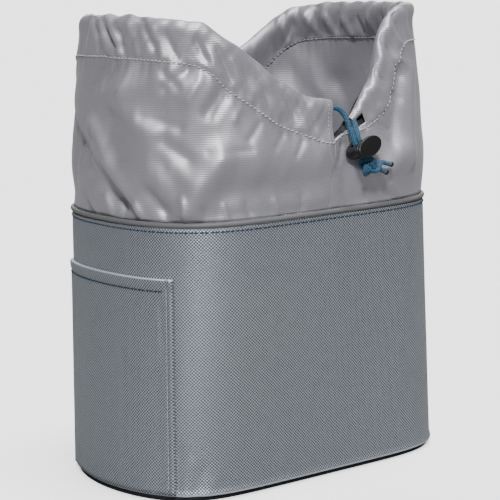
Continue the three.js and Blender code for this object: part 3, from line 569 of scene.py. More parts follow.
def cord_mesh(name, path, radius, material, body, nodes):
    """A round cord with closed ends, its UV running along it in metres and around it once."""
    sides = 20
    rings = tube_grid(path, radius, sides)
    n = len(rings)
    lengths = np.r_[0, np.cumsum(np.linalg.norm(np.diff(path, axis=0), axis=1))]
    uv = np.zeros((n, sides, 2))
    uv[..., 0] = lengths[:, None]
    uv[..., 1] = np.arange(sides)[None, :] / sides
    faces = grid_faces(n, sides, False, True)
    points = cap_ends(rings.reshape(-1, 3), faces, n, sides, path[0], path[-1])
    uvs = np.vstack([uv.reshape(-1, 2), [[0, 0]], [[lengths[-1], 0]]])
    return make_mesh(name, points, faces, uvs, material, body, nodes)


def stitch_mesh(name, tops, normals, pitch, width, height, material, body, lean=0.0, gap=0.22):
    """A row of separate stitches along surface points, each a short rounded bar that dips at both ends."""
    tops, normals = np.asarray(tops, float), np.asarray(normals, float)
    lengths = np.r_[0, np.cumsum(np.linalg.norm(np.diff(tops, axis=0), axis=1))]
    count = max(1, int(lengths[-1] / pitch))
    points, faces, uvs = [], [], []
    sides, rings = 6, 7
    for i in range(count):
        for r in range(rings):
            t = (r / (rings - 1)) * (1 - gap) + gap / 2
            at = (i + t) * pitch
            c = np.array([np.interp(at, lengths, tops[:, k]) for k in range(3)])
            n = np.array([np.interp(at, lengths, normals[:, k]) for k in range(3)])
            ahead = np.array([np.interp(at + 0.2, lengths, tops[:, k]) for k in range(3)])
            behind = np.array([np.interp(at - 0.2, lengths, tops[:, k]) for k in range(3)])
            n /= np.linalg.norm(n)
            along = ahead - behind
            along /= max(1e-9, np.linalg.norm(along))
            side = np.cross(n, along)
            swell = math.sin(math.pi * (r + 0.35) / (rings - 0.3)) ** 0.5
            centre = c + n * (height * (swell - 0.45)) + side * lean * (t - 0.5) * 2
            for j in range(sides):
                angle = j * 2 * math.pi / sides
                points.append(
                    centre
                    + side * math.cos(angle) * width / 2 * (0.45 + 0.55 * swell)
                    + n * math.sin(angle) * height / 2 * (0.45 + 0.55 * swell)
                )
                uvs.append((at, j / sides))
        start = i * rings * sides
        for r in range(rings - 1):
            for j in range(sides):
                k = (j + 1) % sides
                a = start + r * sides
                faces.append((a + j, a + sides + j, a + sides + k, a + k))
        faces.append(tuple(start + j for j in range(sides)))
        faces.append(tuple(start + (rings - 1) * sides + j for j in reversed(range(sides))))
    return make_mesh(name, np.array(points) * 0.001, faces, np.array(uvs) * 0.001, material, body)


# Shader groups and materials
class Nodes:
    """A small helper that adds and links nodes of one tree."""

    def __init__(self, tree):
        self.tree = tree

    def add(self, kind, **values):
        node = self.tree.nodes.new(kind)
        for key, value in values.items():
            setattr(node, key, value)
        return node

    def link(self, a, b):
        self.tree.links.new(a, b)

    def math(self, operation, a, b=None, c=None):
        node = self.add("ShaderNodeMath", operation=operation)
        for i, value in enumerate((a, b, c)):
            if value is None:
                continue
            if isinstance(value, (int, float)):
                node.inputs[i].default_value = value
            else:
                self.link(value, node.inputs[i])
        return node.outputs[0]

    def mix(self, factor, a, b):
        node = self.add("ShaderNodeMix", data_type="RGBA")
        for socket, value in ((node.inputs[0], factor), (node.inputs[6], a), (node.inputs[7], b)):
            if isinstance(value, (int, float)):
                socket.default_value = value
            elif isinstance(value, tuple):
                socket.default_value = (*value, 1)
            else:
                self.link(value, socket)
        return node.outputs[2]

    def noise(self, scale, detail, vector):
        node = self.add("ShaderNodeTexNoise")
        node.inputs["Scale"].default_value = scale
        node.inputs["Detail"].default_value = detail
        self.link(vector, node.inputs["Vector"])
        return node

    def cloth(self):
        """The unrolled cloth's coordinates: along it, up it, and both together."""
        uv = self.add("ShaderNodeUVMap", uv_map="cloth")
        split = self.add("ShaderNodeSeparateXYZ")
        self.link(uv.outputs[0], split.inputs[0])
        return split.outputs[0], split.outputs[1], uv.outputs[0]


def new_group(name, inputs, outputs):
    tree = bpy.data.node_groups.new(name, "ShaderNodeTree")
    for label, kind, default in inputs:
        socket = tree.interface.new_socket(name=label, in_out="INPUT", socket_type=kind)
        if default is not None:
            socket.default_value = default
    for label, kind in outputs:
        tree.interface.new_socket(name=label, in_out="OUTPUT", socket_type=kind)
    n = Nodes(tree)
    return tree, n, n.add("NodeGroupInput"), n.add("NodeGroupOutput")


def coordinates(n, pitch):
    """The cloth's coordinates counted in pitches, along and up, and both together in metres."""
    along, up, uv = n.cloth()
    return n.math("DIVIDE", along, pitch), n.math("DIVIDE", up, pitch), uv


def weave_group():
    """Basket weave: raised dots on the diagonal, with slightly uneven yarns."""
    tree, n, inp, out = new_group(
        "Basket Weave",
        [("Pitch", "NodeSocketFloat", 0.0020), ("Uneven", "NodeSocketFloat", 0.35)],
        [("Dots", "NodeSocketFloat"), ("Height", "NodeSocketFloat"), ("Mottle", "NodeSocketFloat")],
    )
    u, v, uv = coordinates(n, inp.outputs["Pitch"])
    wobble = n.noise(420, 2, uv)
    shift = n.math("MULTIPLY", n.math("SUBTRACT", wobble.outputs[0], 0.5), inp.outputs["Uneven"])
    tau = 2 * math.pi
    a = n.math("SINE", n.math("MULTIPLY", n.math("ADD", n.math("ADD", u, v), shift), tau))
    b = n.math("SINE", n.math("MULTIPLY", n.math("ADD", n.math("SUBTRACT", u, v), shift), tau))
    both = n.math("MULTIPLY", n.math("ADD", a, b), 0.5)
    height = n.math("MULTIPLY_ADD", both, 0.5, 0.5)
    dots = n.math("SMOOTH_MIN", n.math("MAXIMUM", n.math("MULTIPLY_ADD", both, 1.1, 0.35), 0.0), 1.0, 0.2)
    mottle = n.noise(120, 8, uv)
    mottle.inputs["Roughness"].default_value = 0.75
    n.link(dots, out.inputs["Dots"])
    n.link(height, out.inputs["Height"])
    n.link(mottle.outputs[0], out.inputs["Mottle"])
    return tree


def ribs_group():
    """Fine ribs along the cloth with small breaks."""
    tree, n, inp, out = new_group(
        "Fine Ribs",
        [("Pitch", "NodeSocketFloat", 0.0013)],
        [("Rib", "NodeSocketFloat"), ("Height", "NodeSocketFloat"), ("Mottle", "NodeSocketFloat")],
    )
    u, v, uv = coordinates(n, inp.outputs["Pitch"])
    wobble = n.noise(60, 3, uv)
    shift = n.math("MULTIPLY", n.math("SUBTRACT", wobble.outputs[0], 0.5), 0.8)
    tau = 2 * math.pi
    rib = n.math("SINE", n.math("MULTIPLY", n.math("ADD", v, shift), tau))
    cross = n.math("SINE", n.math("MULTIPLY", u, tau * 1.7))
    both = n.math("MULTIPLY_ADD", cross, 0.18, rib)
    mottle = n.noise(26, 5, uv)
    n.link(n.math("MULTIPLY_ADD", both, 0.42, 0.5), out.inputs["Rib"])
    n.link(n.math("MULTIPLY_ADD", both, 0.5, 0.5), out.inputs["Height"])
    n.link(mottle.outputs[0], out.inputs["Mottle"])
    return tree


def braid_group():
    """Two families of crossing yarns round a cord, with painted highlights as lighter flecks."""
    tree, n, inp, out = new_group(
        "Cord Braid",
        [("Pitch", "NodeSocketFloat", 0.0046), ("Carriers", "NodeSocketFloat", 5.0)],
        [("Over", "NodeSocketFloat"), ("Painted Glint", "NodeSocketFloat"), ("Height", "NodeSocketFloat")],
    )
    metres, around, uv = n.cloth()
    along = n.math("DIVIDE", metres, inp.outputs["Pitch"])
    tau = 2 * math.pi
    turn = n.math("MULTIPLY", around, inp.outputs["Carriers"])
    run = n.math("MULTIPLY", along, inp.outputs["Carriers"])
    a = n.math("SINE", n.math("MULTIPLY", n.math("ADD", turn, run), tau))
    b = n.math("SINE", n.math("MULTIPLY", n.math("SUBTRACT", turn, run), tau))
    over = n.math("MAXIMUM", a, b)
    height = n.math("MULTIPLY_ADD", over, 0.5, 0.5)
    both = n.math("MULTIPLY", a, b)
    speck = n.math("GREATER_THAN", n.noise(900, 1, uv).outputs[0], 0.5)
    painted_glint = n.math("MULTIPLY", n.math("GREATER_THAN", both, 0.35), speck)
    n.link(height, out.inputs["Over"])
    n.link(painted_glint, out.inputs["Painted Glint"])
    n.link(height, out.inputs["Height"])
    return tree


def shared_group(name, build):
    return bpy.data.node_groups.get(name) or build()


def plain_material(name, colour, roughness, specular=0.5, sheen=0.0):
    material = bpy.data.materials.new(name)
    material.use_nodes = True
    shader = material.node_tree.nodes["Principled BSDF"]
    shader.inputs["Base Color"].default_value = (*colour, 1)
    shader.inputs["Roughness"].default_value = roughness
    shader.inputs["Specular IOR Level"].default_value = specular
    shader.inputs["Sheen Weight"].default_value = sheen
    return material, Nodes(material.node_tree), shader


def bump(n, shader, height, distance, strength=1.0):
    node = n.add("ShaderNodeBump")
    node.inputs["Distance"].default_value = distance
    node.inputs["Strength"].default_value = strength
    n.link(height, node.inputs["Height"])
    n.link(node.outputs[0], shader.inputs["Normal"])


def tinted(colour, k):
    return tuple(min(1.0, c * k) for c in colour)


def highlight_band_group():
    """Soft mask of the cloth below one height and above another, in metres up the cloth, for a painted
    highlight.
    """
    tree, n, inp, out = new_group(
        "Painted Highlight Band",
        [("Below", "NodeSocketFloat", 0.0), ("Above", "NodeSocketFloat", 1.0)],
        [("Mask", "NodeSocketFloat")],
    )
    height = n.cloth()[1]
    low = n.math("MULTIPLY", n.math("SUBTRACT", inp.outputs["Below"], height), 2000)
    high = n.math("MULTIPLY", n.math("SUBTRACT", height, inp.outputs["Above"]), 2000)
    band = n.math("MINIMUM", n.math("MAXIMUM", n.math("MAXIMUM", low, high), 0.0), 1.0)
    n.link(band, out.inputs["Mask"])
    return tree


def woven_material(name, below, above):
    """Woven cloth with a painted highlight, a much paler colour, on its folded edges below and above two
    heights.
    """
    colour = tuple(settings().woven)
    material, n, shader = plain_material(name, colour, 0.5, 1.0, 0.05)
    shader.inputs["Metallic"].default_value = 0.6
    group = n.add("ShaderNodeGroup", node_tree=shared_group("Basket Weave", weave_group))
    edge = n.add("ShaderNodeGroup", node_tree=shared_group("Painted Highlight Band", highlight_band_group))
    edge.inputs["Below"].default_value = below
    edge.inputs["Above"].default_value = above
    base = n.mix(group.outputs["Mottle"], tinted(colour, 0.05), tinted(colour, 0.72))
    cloth = n.mix(group.outputs["Dots"], base, tinted(colour, 2.95))
    # Painted highlight: the cloth in the band takes a much paler colour, standing in for light on the rolled
    # edge
    n.link(n.mix(edge.outputs["Mask"], cloth, tinted(colour, 3.6)), shader.inputs["Base Color"])
    n.link(n.math("MULTIPLY_ADD", group.outputs["Dots"], -0.22, 0.58), shader.inputs["Roughness"])
    bump(n, shader, group.outputs["Height"], 0.00030, 0.9)
    return material


def nylon_material():
    colour = tuple(settings().nylon)
    material, n, shader = plain_material("collar nylon", colour, 0.44, 0.8, 0.1)
    shader.inputs["Metallic"].default_value = 0.62
    group = n.add("ShaderNodeGroup", node_tree=shared_group("Fine Ribs", ribs_group))
    base = n.mix(group.outputs["Mottle"], tinted(colour, 0.82), tinted(colour, 1.0))
    n.link(n.mix(group.outputs["Rib"], base, tinted(colour, 1.12)), shader.inputs["Base Color"])
    n.link(n.math("MULTIPLY_ADD", group.outputs["Mottle"], 0.14, 0.43), shader.inputs["Roughness"])
    bump(n, shader, group.outputs["Height"], 0.00007, 0.8)
    return material


def cord_material():
    colour = tuple(settings().cord)
    material, n, shader = plain_material("braided cord", colour, 0.55, 0.4, 0.2)
    group = n.add("ShaderNodeGroup", node_tree=shared_group("Cord Braid", braid_group))
    base = n.mix(group.outputs["Over"], tinted(colour, 0.45), tinted(colour, 1.5))
    # Painted highlights: scattered light flecks on the strands
    n.link(n.mix(group.outputs["Painted Glint"], base, tinted(colour, 6.5)), shader.inputs["Base Color"])
    bump(n, shader, group.outputs["Height"], 0.00035, 0.9)
    return material


def noisy_material(name, colour, roughness, scale, depth, specular=0.5):
    material, n, shader = plain_material(name, colour, roughness, specular)
    grain = n.noise(scale, 4, n.add("ShaderNodeTexCoord").outputs["Object"])
    n.link(n.mix(grain.outputs[0], tinted(colour, 0.85), tinted(colour, 1.15)), shader.inputs["Base Color"])
    n.link(n.math("MULTIPLY_ADD", grain.outputs[0], 0.12, roughness - 0.06), shader.inputs["Roughness"])
    bump(n, shader, grain.outputs[0], depth, 0.5)
    return material


# The lower wall
def signed_arc(share):
    s = share - np.floor(share)
    return np.where(s > 0.5, 2 * s - 2, 2 * s)


def wall_points(share, z, off):
    b = settings()
    top, foot = plans()
    share, z = np.broadcast_arrays(np.asarray(share, float), np.asarray(z, float))
    foot_z, top_z = b.base_rise * 1000, b.piping_height * 1000
    wall_top = top_z - WALL_UNDER_PIPING
    t = (z - foot_z) / (top_z - foot_z)
    xa, ya, nxa, nya = foot.frame(share)
    xb, yb, nxb, nyb = top.frame(share)
    arc = signed_arc(share)
    half_loop = top.total / 2
    rise = off + 1.2 * np.sin(math.pi * np.clip(t, 0, 1)) * smooth(1 - np.abs(arc) * 3)
    for a, h, reach, height in DENTS:
        along, up = (arc - a) * half_loop / reach, (z - h * wall_top) / (reach * 1.6)
        rise = rise + height * np.exp(-(along**2 + up**2))
    rise = rise + 1.3 * line_rise(PUCKERS, arc * half_loop, z, half_loop, wall_top)
    rise = rise - 0.35 * np.exp(-(((z - wall_top + 2.3) / 1.1) ** 2))
    # The cloth behind the pocket is pressed in
    under, over = (POCKET_TO - share) * top.total, (share - POCKET_FROM) * top.total
    rise = rise - 1.3 * smooth((b.pocket_top * 1000 - z) / 24) * smooth(under / 12) * smooth(over / 12)
    nx, ny = nxa + (nxb - nxa) * t, nya + (nyb - nya) * t
    n = np.hypot(nx, ny)
    return np.stack([xa + (xb - xa) * t + nx / n * rise, ya + (yb - ya) * t + ny / n * rise, z], -1)


def wall_uv(share, z):
    return np.stack(np.broadcast_arrays(signed_arc(share) * HALF_LOOP, z), -1)


class BAG_OT_lower_wall(bpy.types.Operator):
    """Build the woven wall, its piping, pocket and base"""

    bl_idname = "bag.lower_wall"
    bl_label = "Lower wall"

    def execute(self, context):
        b = settings()
        # Painted highlights along the wall's bottom hem and along the pocket's top edge
        woven = woven_material("woven wall", b.base_rise + 0.0016, 1.0)
        pocket = woven_material("woven pocket", 0.0, b.pocket_top - 0.0010)
        foot, top = b.base_rise * 1000, b.piping_height * 1000 - WALL_UNDER_PIPING
        # Section of the wall: rolled hem, outer face, top edge, inner face
        rows = [(foot + 0.5, 0.1), (foot, 0.7), (foot + 0.5, 1.15), (foot + 1.5, 1.3), (foot + 2.5, 1.1)]
        rows += [(foot + 3.2, 0.72)]
        rows += [(z, WALL_FACE) for z in np.linspace(foot + 4.5, top - 0.6, 54)]
        rows += [(top, 0.2), (top, -1.4)]
        rows += [(z, -1.8) for z in np.linspace(top - 0.6, foot + 1, 14)]
        rows += [(foot, -1.2)]
        count = 560
        share = np.arange(count)[:, None] / count
        z, off = np.array(rows).T[:, None]
        grid = wall_points(share, z, off)
        grid_object(
            "wall_cloth", grid, wall_uv(share, z), woven, "bag", ["body_wall"],
            wrap_rows=True, wrap_columns=True,
        )
        self.base(b)
        self.piping(b)
        self.pocket(b, pocket)
        return {"FINISHED"}

    def base(self, b):
        _, foot = plans()
        material = noisy_material("base cloth", tuple(b.base), 0.7, 900, 0.00008, 0.35)
        count = 360
        share = np.arange(count)[:, None] / count
        # Rings of the panel: inset from the foot outline and height
        rings = [(60, 0), (30, 0), (12, 0), (4.0, 0.0), (2.6, 0.12), (1.6, 0.5), (0.9, 1.3), (0.8, 2.8)]
        rings += [(1.2, 3.3), (6, 3.2), (30, 3.2), (60, 3.2)]
        x, y, nx, ny = foot.frame(share)
        inset, z = np.array(rings).T[:, None]
        points = np.stack([x - nx * inset, y - ny * inset, np.broadcast_to(z, (count, len(rings)))], -1)
        for j in (0, len(rings) - 1):
            points[:, j, :2] = 0
        for j in (1, len(rings) - 2):
            points[:, j, 0] = x[:, 0] * 0.55
            points[:, j, 1] = y[:, 0] * 0.55
        uv = np.stack([points[..., 0], points[..., 1]], -1)
        grid_object("base_cloth", points, uv, material, "bag", ["base_panel"], wrap_rows=True)

    def piping(self, b):
        top, _ = plans()
        material = noisy_material("piping cloth", tuple(b.piping), 0.52, 1400, 0.00005, 0.45)
        count, sides = 560, 20
        share = np.arange(count)[:, None] / count
        x, y, nx, ny = top.frame(share)
        angle = np.arange(sides)[None, :] * 2 * math.pi / sides
        wobble = 1 + 0.02 * np.sin(share * 2 * math.pi * 37) + 0.015 * np.sin(share * 2 * math.pi * 91)
        out = PIPING_RADIUS * wobble * np.cos(angle)
        up = b.piping_height * 1000 + PIPING_RADIUS * wobble * np.sin(angle)
        grid = np.stack([x + nx * out, y + ny * out, up], -1)
        uv = np.stack(np.broadcast_arrays(share * 2 * HALF_LOOP, angle * PIPING_RADIUS), -1)
        grid_object(
            "piping_cloth", grid, uv, material, "bag", ["body_piping"],
            wrap_rows=True, wrap_columns=True,
        )

    def pocket(self, b, woven):
        foot, top = b.base_rise * 1000 + 1.2, b.pocket_top * 1000
        low, high = POCKET_FROM, POCKET_TO
        step = 1 / (2 * HALF_LOOP)
        # Columns: plain cloth, then the folded front edge that stands proud and rolls in
        columns = [(low, 0.2), (low + 0.8 * step, 0.8)]
        columns += [(low + (high - 6 * step - low) * t, 1.0) for t in np.linspace(0.02, 1, 150)]
        columns += [(high - d * step, k) for d, k in ((4.6, 0.92), (3.9, 0.95), (3.4, 1.45), (2.6, 1.75))]
        columns += [(high - d * step, k) for d, k in ((1.8, 1.80), (1.0, 1.70), (0.4, 1.3), (0.0, 0.5))]
        share, thick = np.array(columns).T[:, :, None]
        thick = POCKET_THICK * thick
        hem = top - POCKET_HEM
        rows = [(z, 0.0) for z in np.linspace(foot, hem - 3.4, 46)]
        rows += [(hem - 2.2, 0.05), (hem - 1.0, -0.1), (hem, -0.22), (hem + 1.0, -0.05), (hem + 2.4, 0.3)]
        rows += [(hem + 4.0, 0.5), (top - 2.2, 0.62), (top - 1.0, 0.62), (top - 0.35, 0.4), (top, 0.0)]
        z, proud = np.array(rows).T[:, None]
        outer = wall_points(share, z, WALL_FACE + GAP + thick + proud)
        inner = wall_points(share, z[:, ::-1], WALL_FACE + GAP)
        grid = np.concatenate([outer, inner], 1)
        uv = np.concatenate([wall_uv(share, z), wall_uv(share, z[:, ::-1])], 1)
        grid_object("pocket_cloth", grid, uv, woven, "bag", ["side_pocket"], wrap_columns=True)


# The collar
def fold_rise(s, z_share, half_loop, rise):
    """The measured folds and creases, which fade out at the piping."""
    z = z_share * rise
    total = 1.8 * line_rise(FOLDS, s, z, half_loop, rise, 0.12)
    total += 1.8 * line_rise(CREASES, s, z, half_loop, rise, 0.3)
    return total * smooth(z_share / 0.05)


def collar_points(side, arc, height, off, folded, b, top):
    x, y, nx, ny = top.frame(side * arc / 2)
    own, other = (2, 1) if side > 0 else (1, 2)
    mix = smooth((arc - 0.9) / 0.1) * 0.5 + smooth((0.1 - arc) / 0.1) * 0.5
    full = (1 - mix) * read_table(FULLNESS, height, own) + mix * read_table(FULLNESS, height, other)
    half_loop = top.total / 2
    base = b.piping_height * 1000
    rise_height = b.rim_height * 1000 - base
    at, reach, foot, rim = DRAW_IN
    depth = foot * smooth(height / 0.1) + (rim - foot) * height**2
    drawn = depth * np.exp(-(((arc - at) / reach) ** 2)) if side < 0 else 0
    rise = full - drawn + off + fold_rise(side * arc * half_loop, height, half_loop, rise_height) * folded
    return np.stack([x + nx * rise, y + ny * rise, base + height * rise_height], -1)


def hem_columns(side, count):
    """Stitch line and rim of one side, from the front seam to the back seam."""
    rows = (RIGHT_MOUTH + RIGHT_HEM if side > 0 else LEFT_HEM) + BACK_HEM
    margin = 0.02 / HALF_LOOP
    t = np.linspace(0, 1, count)
    arc = rows[0][0] + margin + (1 - margin - rows[0][0] - margin) * (0.65 * t + 0.35 * t * t)
    height, rim_arc, rim_height = (read_table(rows, arc, k) for k in (1, 2, 3))
    seam = side * FRONT_SEAM
    foot_arc = margin + (1 - 2 * margin) * (arc - seam - margin) / (1 - seam - 2 * margin)
    return arc, height, rim_arc, np.minimum(rim_height, 1.0), np.clip(foot_arc, margin, 1 - margin)


def channel_sink(up):
    """How far the middle of the hem channel lies in from the cloth below it, in mm."""
    return 0.6 + 2.4 * smooth(up / 0.7)


class BAG_OT_collar(bpy.types.Operator):
    """Build the two collar panels with their hem channels"""

    bl_idname = "bag.collar"
    bl_label = "Collar"

    def execute(self, context):
        nylon = nylon_material()
        for name, side in (("left", -1), ("right", 1)):
            self.panel(name, side, nylon)
        return {"FINISHED"}

    def panel(self, name, side, nylon):
        b = settings()
        top, _ = plans()
        half_loop = top.total / 2
        rise_height = (b.rim_height - b.piping_height) * 1000
        count = 330
        arc, height, rim_arc, rim_height, foot_arc = (v[:, None] for v in hem_columns(side, count))
        foot_height = 1.8 / rise_height
        v = np.linspace(0, 1, PANEL_ROWS)[None, :]
        pa = foot_arc + (arc - foot_arc) * v
        ph = foot_height + (height - foot_height) * v
        s = side * pa * half_loop

        def wrinkles(s, z, calm):
            """Soft wrinkles that run mostly up and down, in three sizes, over the cloth's belly."""
            total = sum(
                rise * crumple(s + z * lean, z, (along, tall), seed)
                for rise, lean, along, tall, seed in WRINKLES
            )
            rise, middle, reach = BELLY
            return (total + rise * np.exp(-(((z - middle) / reach) ** 2))) * calm

        # The outline seen from the front left corner stays on the measured one, and the back is smoother
        end = 0.29 if side > 0 else 0.68
        calm = 1 - 0.75 * np.exp(-(((arc - end) / 0.06) ** 2))
        calm = calm * (1 - 0.45 * smooth((arc - 0.72) / 0.1))
        # Both panels meet at the back seam
        calm = calm * (1 - smooth((arc - 0.93) / 0.06))
        # The row of stitches pinches the cloth a little at each stitch
        pinch = 0.16 * np.sin(2 * math.pi * s / 6.2) * np.exp(-(((1 - v) * 9) ** 2))
        ripple = wrinkles(s, ph * rise_height, calm) * smooth(v / 0.06)
        panel = collar_points(side, pa, ph, -0.3 + ripple + pinch, 1.0, b, top)
        # The gathered rim is a little uneven
        uneven = crumple(side * rim_arc * half_loop, 0 * rim_arc, (11, 1), 4.2)
        rim_height = rim_height + 0.012 * uneven * calm

        def channel(up, way):
            """One layer of the hem channel, the outer for way 1 and the inner for way -1."""
            ca = arc + (rim_arc - arc) * up
            ch = height + (rim_height - height) * up
            sc = side * ca * half_loop
            zc = ch * rise_height
            half = read_table(CHANNEL, up, 1)
            table = GATHERS if way > 0 else INNER_GATHERS
            pull = line_rise(table, sc, zc, half_loop, rise_height)
            body = smooth(up / 0.12) * (1 - smooth((up - 0.93) / 0.07))
            lean = sc + side * (zc - height * rise_height) * 0.55
            extra = 2.2 * crumple(lean, zc, (8.5, 38), 11.3 + way)
            extra = extra + 0.7 * crumple(lean, zc, (4.2, 18), 5.9 + way)
            gathered = (1.25 * pull + extra) * body * calm
            carried = wrinkles(sc, zc, calm) * (1 - smooth(up / 0.5))
            seam_pinch = 0.25 * np.sin(2 * math.pi * sc / 6.2) * np.exp(-((up * 7) ** 2))
            # On its way to the seam the right hem is only a lip
            flat = 1.0
            if side > 0:
                flat = smooth((arc - 0.070) / 0.015) * 0.8 + 0.2
            # No gather sinks into the cord that the channel holds
            least = 2.3 * flat * np.exp(-(((up - CORD_HEIGHT_SHARE) / 0.12) ** 2))
            swell = way * np.maximum(half * flat + gathered, least)
            off = -channel_sink(up) + swell + seam_pinch + carried
            return collar_points(side, ca, ch, off, (1 - smooth(up / 0.5)), b, top)

        # Rows of points up each layer of the channel, closer at the stitches and the rim
        up = np.array([0.03, 0.08, 0.14, 0.21, 0.29, 0.38, 0.47, 0.56, 0.65, 0.74, 0.82, 0.89])
        up = np.append(up, [0.94, 0.975, 0.995])
        outer = channel(up[None, :], 1)
        inner = channel(up[None, ::-1], -1)
        grid = np.concatenate([panel, outer, inner], 1)
        su = np.concatenate([pa, arc + 0 * up[None, :], arc + 0 * up[None, :]], 1) * half_loop
        tall = (rim_height - height) * rise_height
        sv = np.concatenate(
            [ph * rise_height, height * rise_height + tall * up[None, :],
             height * rise_height + tall * (2 - up[None, ::-1])], 1,
        )
        uv = np.stack([su, sv], -1)
        obj = grid_object(
            f"collar_cloth_{name}", grid, uv, nylon, "bag", [f"collar_{name}", f"channel_{name}"]
        )
        if side > 0:
            self.open_mouth(obj, arc[:, 0], up, grid.shape[1])
        shell = obj.modifiers.new("cloth thickness", "SOLIDIFY")
        shell.thickness = 0.0006
        shell.offset = 0
        self.stitches(name, side, grid, b)

    def open_mouth(self, obj, arc, up, columns):
        """Cut the outer layer away at the right channel's mouth and paint shade on the inner layer that shows
        there, as a near-black material.
        """
        first = columns - 2 * len(up)
        painted_shade = noisy_material("collar painted shade", (0.030, 0.030, 0.034), 0.7, 900, 0.00004, 0.2)
        obj.data.materials.append(painted_shade)
        shape = bmesh.new()
        shape.from_mesh(obj.data)
        cut = []
        for face in shape.faces:
            i = min(v.index // columns for v in face.verts)
            j = min(v.index % columns for v in face.verts)
            if arc[i] > MOUTH_CUT_AND_SHADE_END:
                continue
            # The inner layer seen through the mouth takes the near-black painted shade
            if j >= first + len(up):
                face.material_index = 1
            elif j >= first:
                share = up[j - first]
                if any(arc[i] < end and low < share < high for end, low, high in MOUTH_CUT):
                    cut.append(face)
        bmesh.ops.delete(shape, geom=cut, context="FACES_ONLY")
        shape.to_mesh(obj.data)
        shape.free()

    def stitches(self, name, side, grid, b):
        """Sew the hem along the top row of the panel, outside and inside."""
        thread = noisy_material(f"light thread {name}", tuple(b.thread_light), 0.5, 2000, 0.00004)
        line = grid[:, PANEL_ROWS - 1]
        tangent = np.gradient(line, axis=0)
        upward = grid[:, PANEL_ROWS] - grid[:, PANEL_ROWS - 3]
        normal = np.cross(tangent, upward) * (1 if side > 0 else -1)
        normal /= np.linalg.norm(normal, axis=1)[:, None]
        pitch = b.stitch_pitch * 1000
        outer, inner = line + normal * 0.45, grid[:, -1] - normal * 0.5
        stitch_mesh(f"hem_stitches_{name}", outer, normal, pitch, 1.0, 0.7, thread, "bag", 0.3, 0.3)
        stitch_mesh(f"inner_hem_stitches_{name}", inner, -normal, pitch, 0.6, 0.5, thread, "bag", 0.1)


# Rows of stitches on the wall, the pocket and the collar's front
class BAG_OT_wall_stitches(bpy.types.Operator):
    """Sew the rows below the piping, on the pocket, up the front seam and across the left mouth"""

    bl_idname = "bag.wall_stitches"
    bl_label = "Wall stitches"

    def execute(self, context):
        b = settings()
        dark = noisy_material("dark thread", tuple(b.thread_dark), 0.5, 2000, 0.00004)
        grey = noisy_material("grey thread", tuple(b.thread_light), 0.5, 2000, 0.00004)
        pitch = b.stitch_pitch * 1000

        def row(name, share, z, off, thread, width=0.95):
            share, z = np.broadcast_arrays(np.asarray(share, float), np.asarray(z, float))
            line = wall_points(share, z, off)
            normal = wall_points(share, z, off + 1) - line
            stitch_mesh(name, line, normal, pitch, width, 0.6, thread, "bag", 0.12, 0.16)

        row("wall_stitches", np.linspace(0, 1, 700), b.piping_height * 1000 - 4.2, 0.8, dark)
        loop = 2 * HALF_LOOP
        hem = b.pocket_top * 1000 - POCKET_HEM
        along = np.linspace(POCKET_FROM + 0.002, POCKET_TO - 5 / loop, 200)
        row("pocket_hem_stitches", along, hem, 2.1, dark)
        edge = np.linspace(b.base_rise * 1000 + 4, b.pocket_top * 1000 - 2, 120)
        row("pocket_edge_stitches", POCKET_TO - 4.3 / loop, edge, 2.25, grey, 0.5)
        # The front seam of the collar
        top, _ = plans()
        v = np.linspace(0.03, 0.97, 40)
        arc = FRONT_SEAM * v + 0.0035
        height = 0.0146 + (0.342 - 0.0146) * v
        line = collar_points(1, arc, height, 0.15, 1.0, b, top)
        normal = collar_points(1, arc, height, 1.15, 1.0, b, top) - line
        stitch_mesh("front_seam_stitches", line, normal, pitch, 0.5, 0.45, grey, "bag")
        # The hem across the left channel's mouth
        up = np.linspace(0.06, 0.94, 30)
        arc = -0.002 - 0.003 * up
        height = 0.3445 + 0.212 * up
        half = read_table(CHANNEL, up, 1)
        off = -channel_sink(up) + half + 0.55
        line = collar_points(-1, arc, height, off, 1 - smooth(up / 0.5), b, top)
        normal = collar_points(-1, arc, height, off + 1, 1 - smooth(up / 0.5), b, top) - line
        stitch_mesh("mouth_stitches", line, normal, pitch * 0.8, 0.5, 0.45, grey, "bag")
        return {"FINISHED"}


# The drawcord
def hidden_run():
    """Centre line of the cord inside both channels, from the left mouth round the back to the right one."""
    b = settings()
    top, _ = plans()
    run = []
    for side in (-1, 1):
        rows = (RIGHT_HEM if side > 0 else LEFT_HEM) + BACK_HEM
        arc = np.linspace(rows[0][0] + 0.006, 0.999, 120)
        height, rim_arc, rim_height = (read_table(rows, arc, k) for k in (1, 2, 3))
        ca = arc + (rim_arc - arc) * CORD_HEIGHT_SHARE
        ch = height + (rim_height - height) * CORD_HEIGHT_SHARE
        points = collar_points(side, ca, ch, -3.0, 0.0, b, top)
        run.append(points if side < 0 else points[::-1])
    return np.concatenate(run) * 0.001


def knot_paths():
    """The doubled overhand knot in metres: a strand that ends in the two tails, and one beside it."""
    centre = np.array([0.0233, -0.0948, 0.1954])
    width, tall, depth, opening, spread = 1.9, 1.3, 2.4, 0.34, 1.3
    t = np.linspace(math.pi + opening, 3 * math.pi - opening, 40)
    loop = np.column_stack([
        -width * (np.cos(t) - 2 * np.cos(2 * t)),
        depth * np.sin(3 * t),
        -tall * (np.sin(t) + 2 * np.sin(2 * t)),
    ])
    tangent = np.gradient(loop, axis=0)
    beside = np.cross(tangent, (0, 1, 0))
    beside *= spread / np.linalg.norm(beside, axis=1)[:, None]
    upper = np.array([[17.5, -0.7, -0.6], [12.6, -0.9, 0.8], [8.8, -1.0, 1.5]])
    lower = np.array([[8.6, 1.1, -2.4], [11.4, 0.5, -4.0], [14.2, 0.0, -5.4]])
    first = np.vstack([upper, loop + beside, lower]) * 0.001 + centre
    return first, (loop[2:-2] - beside[2:-2]) * 0.001 + centre


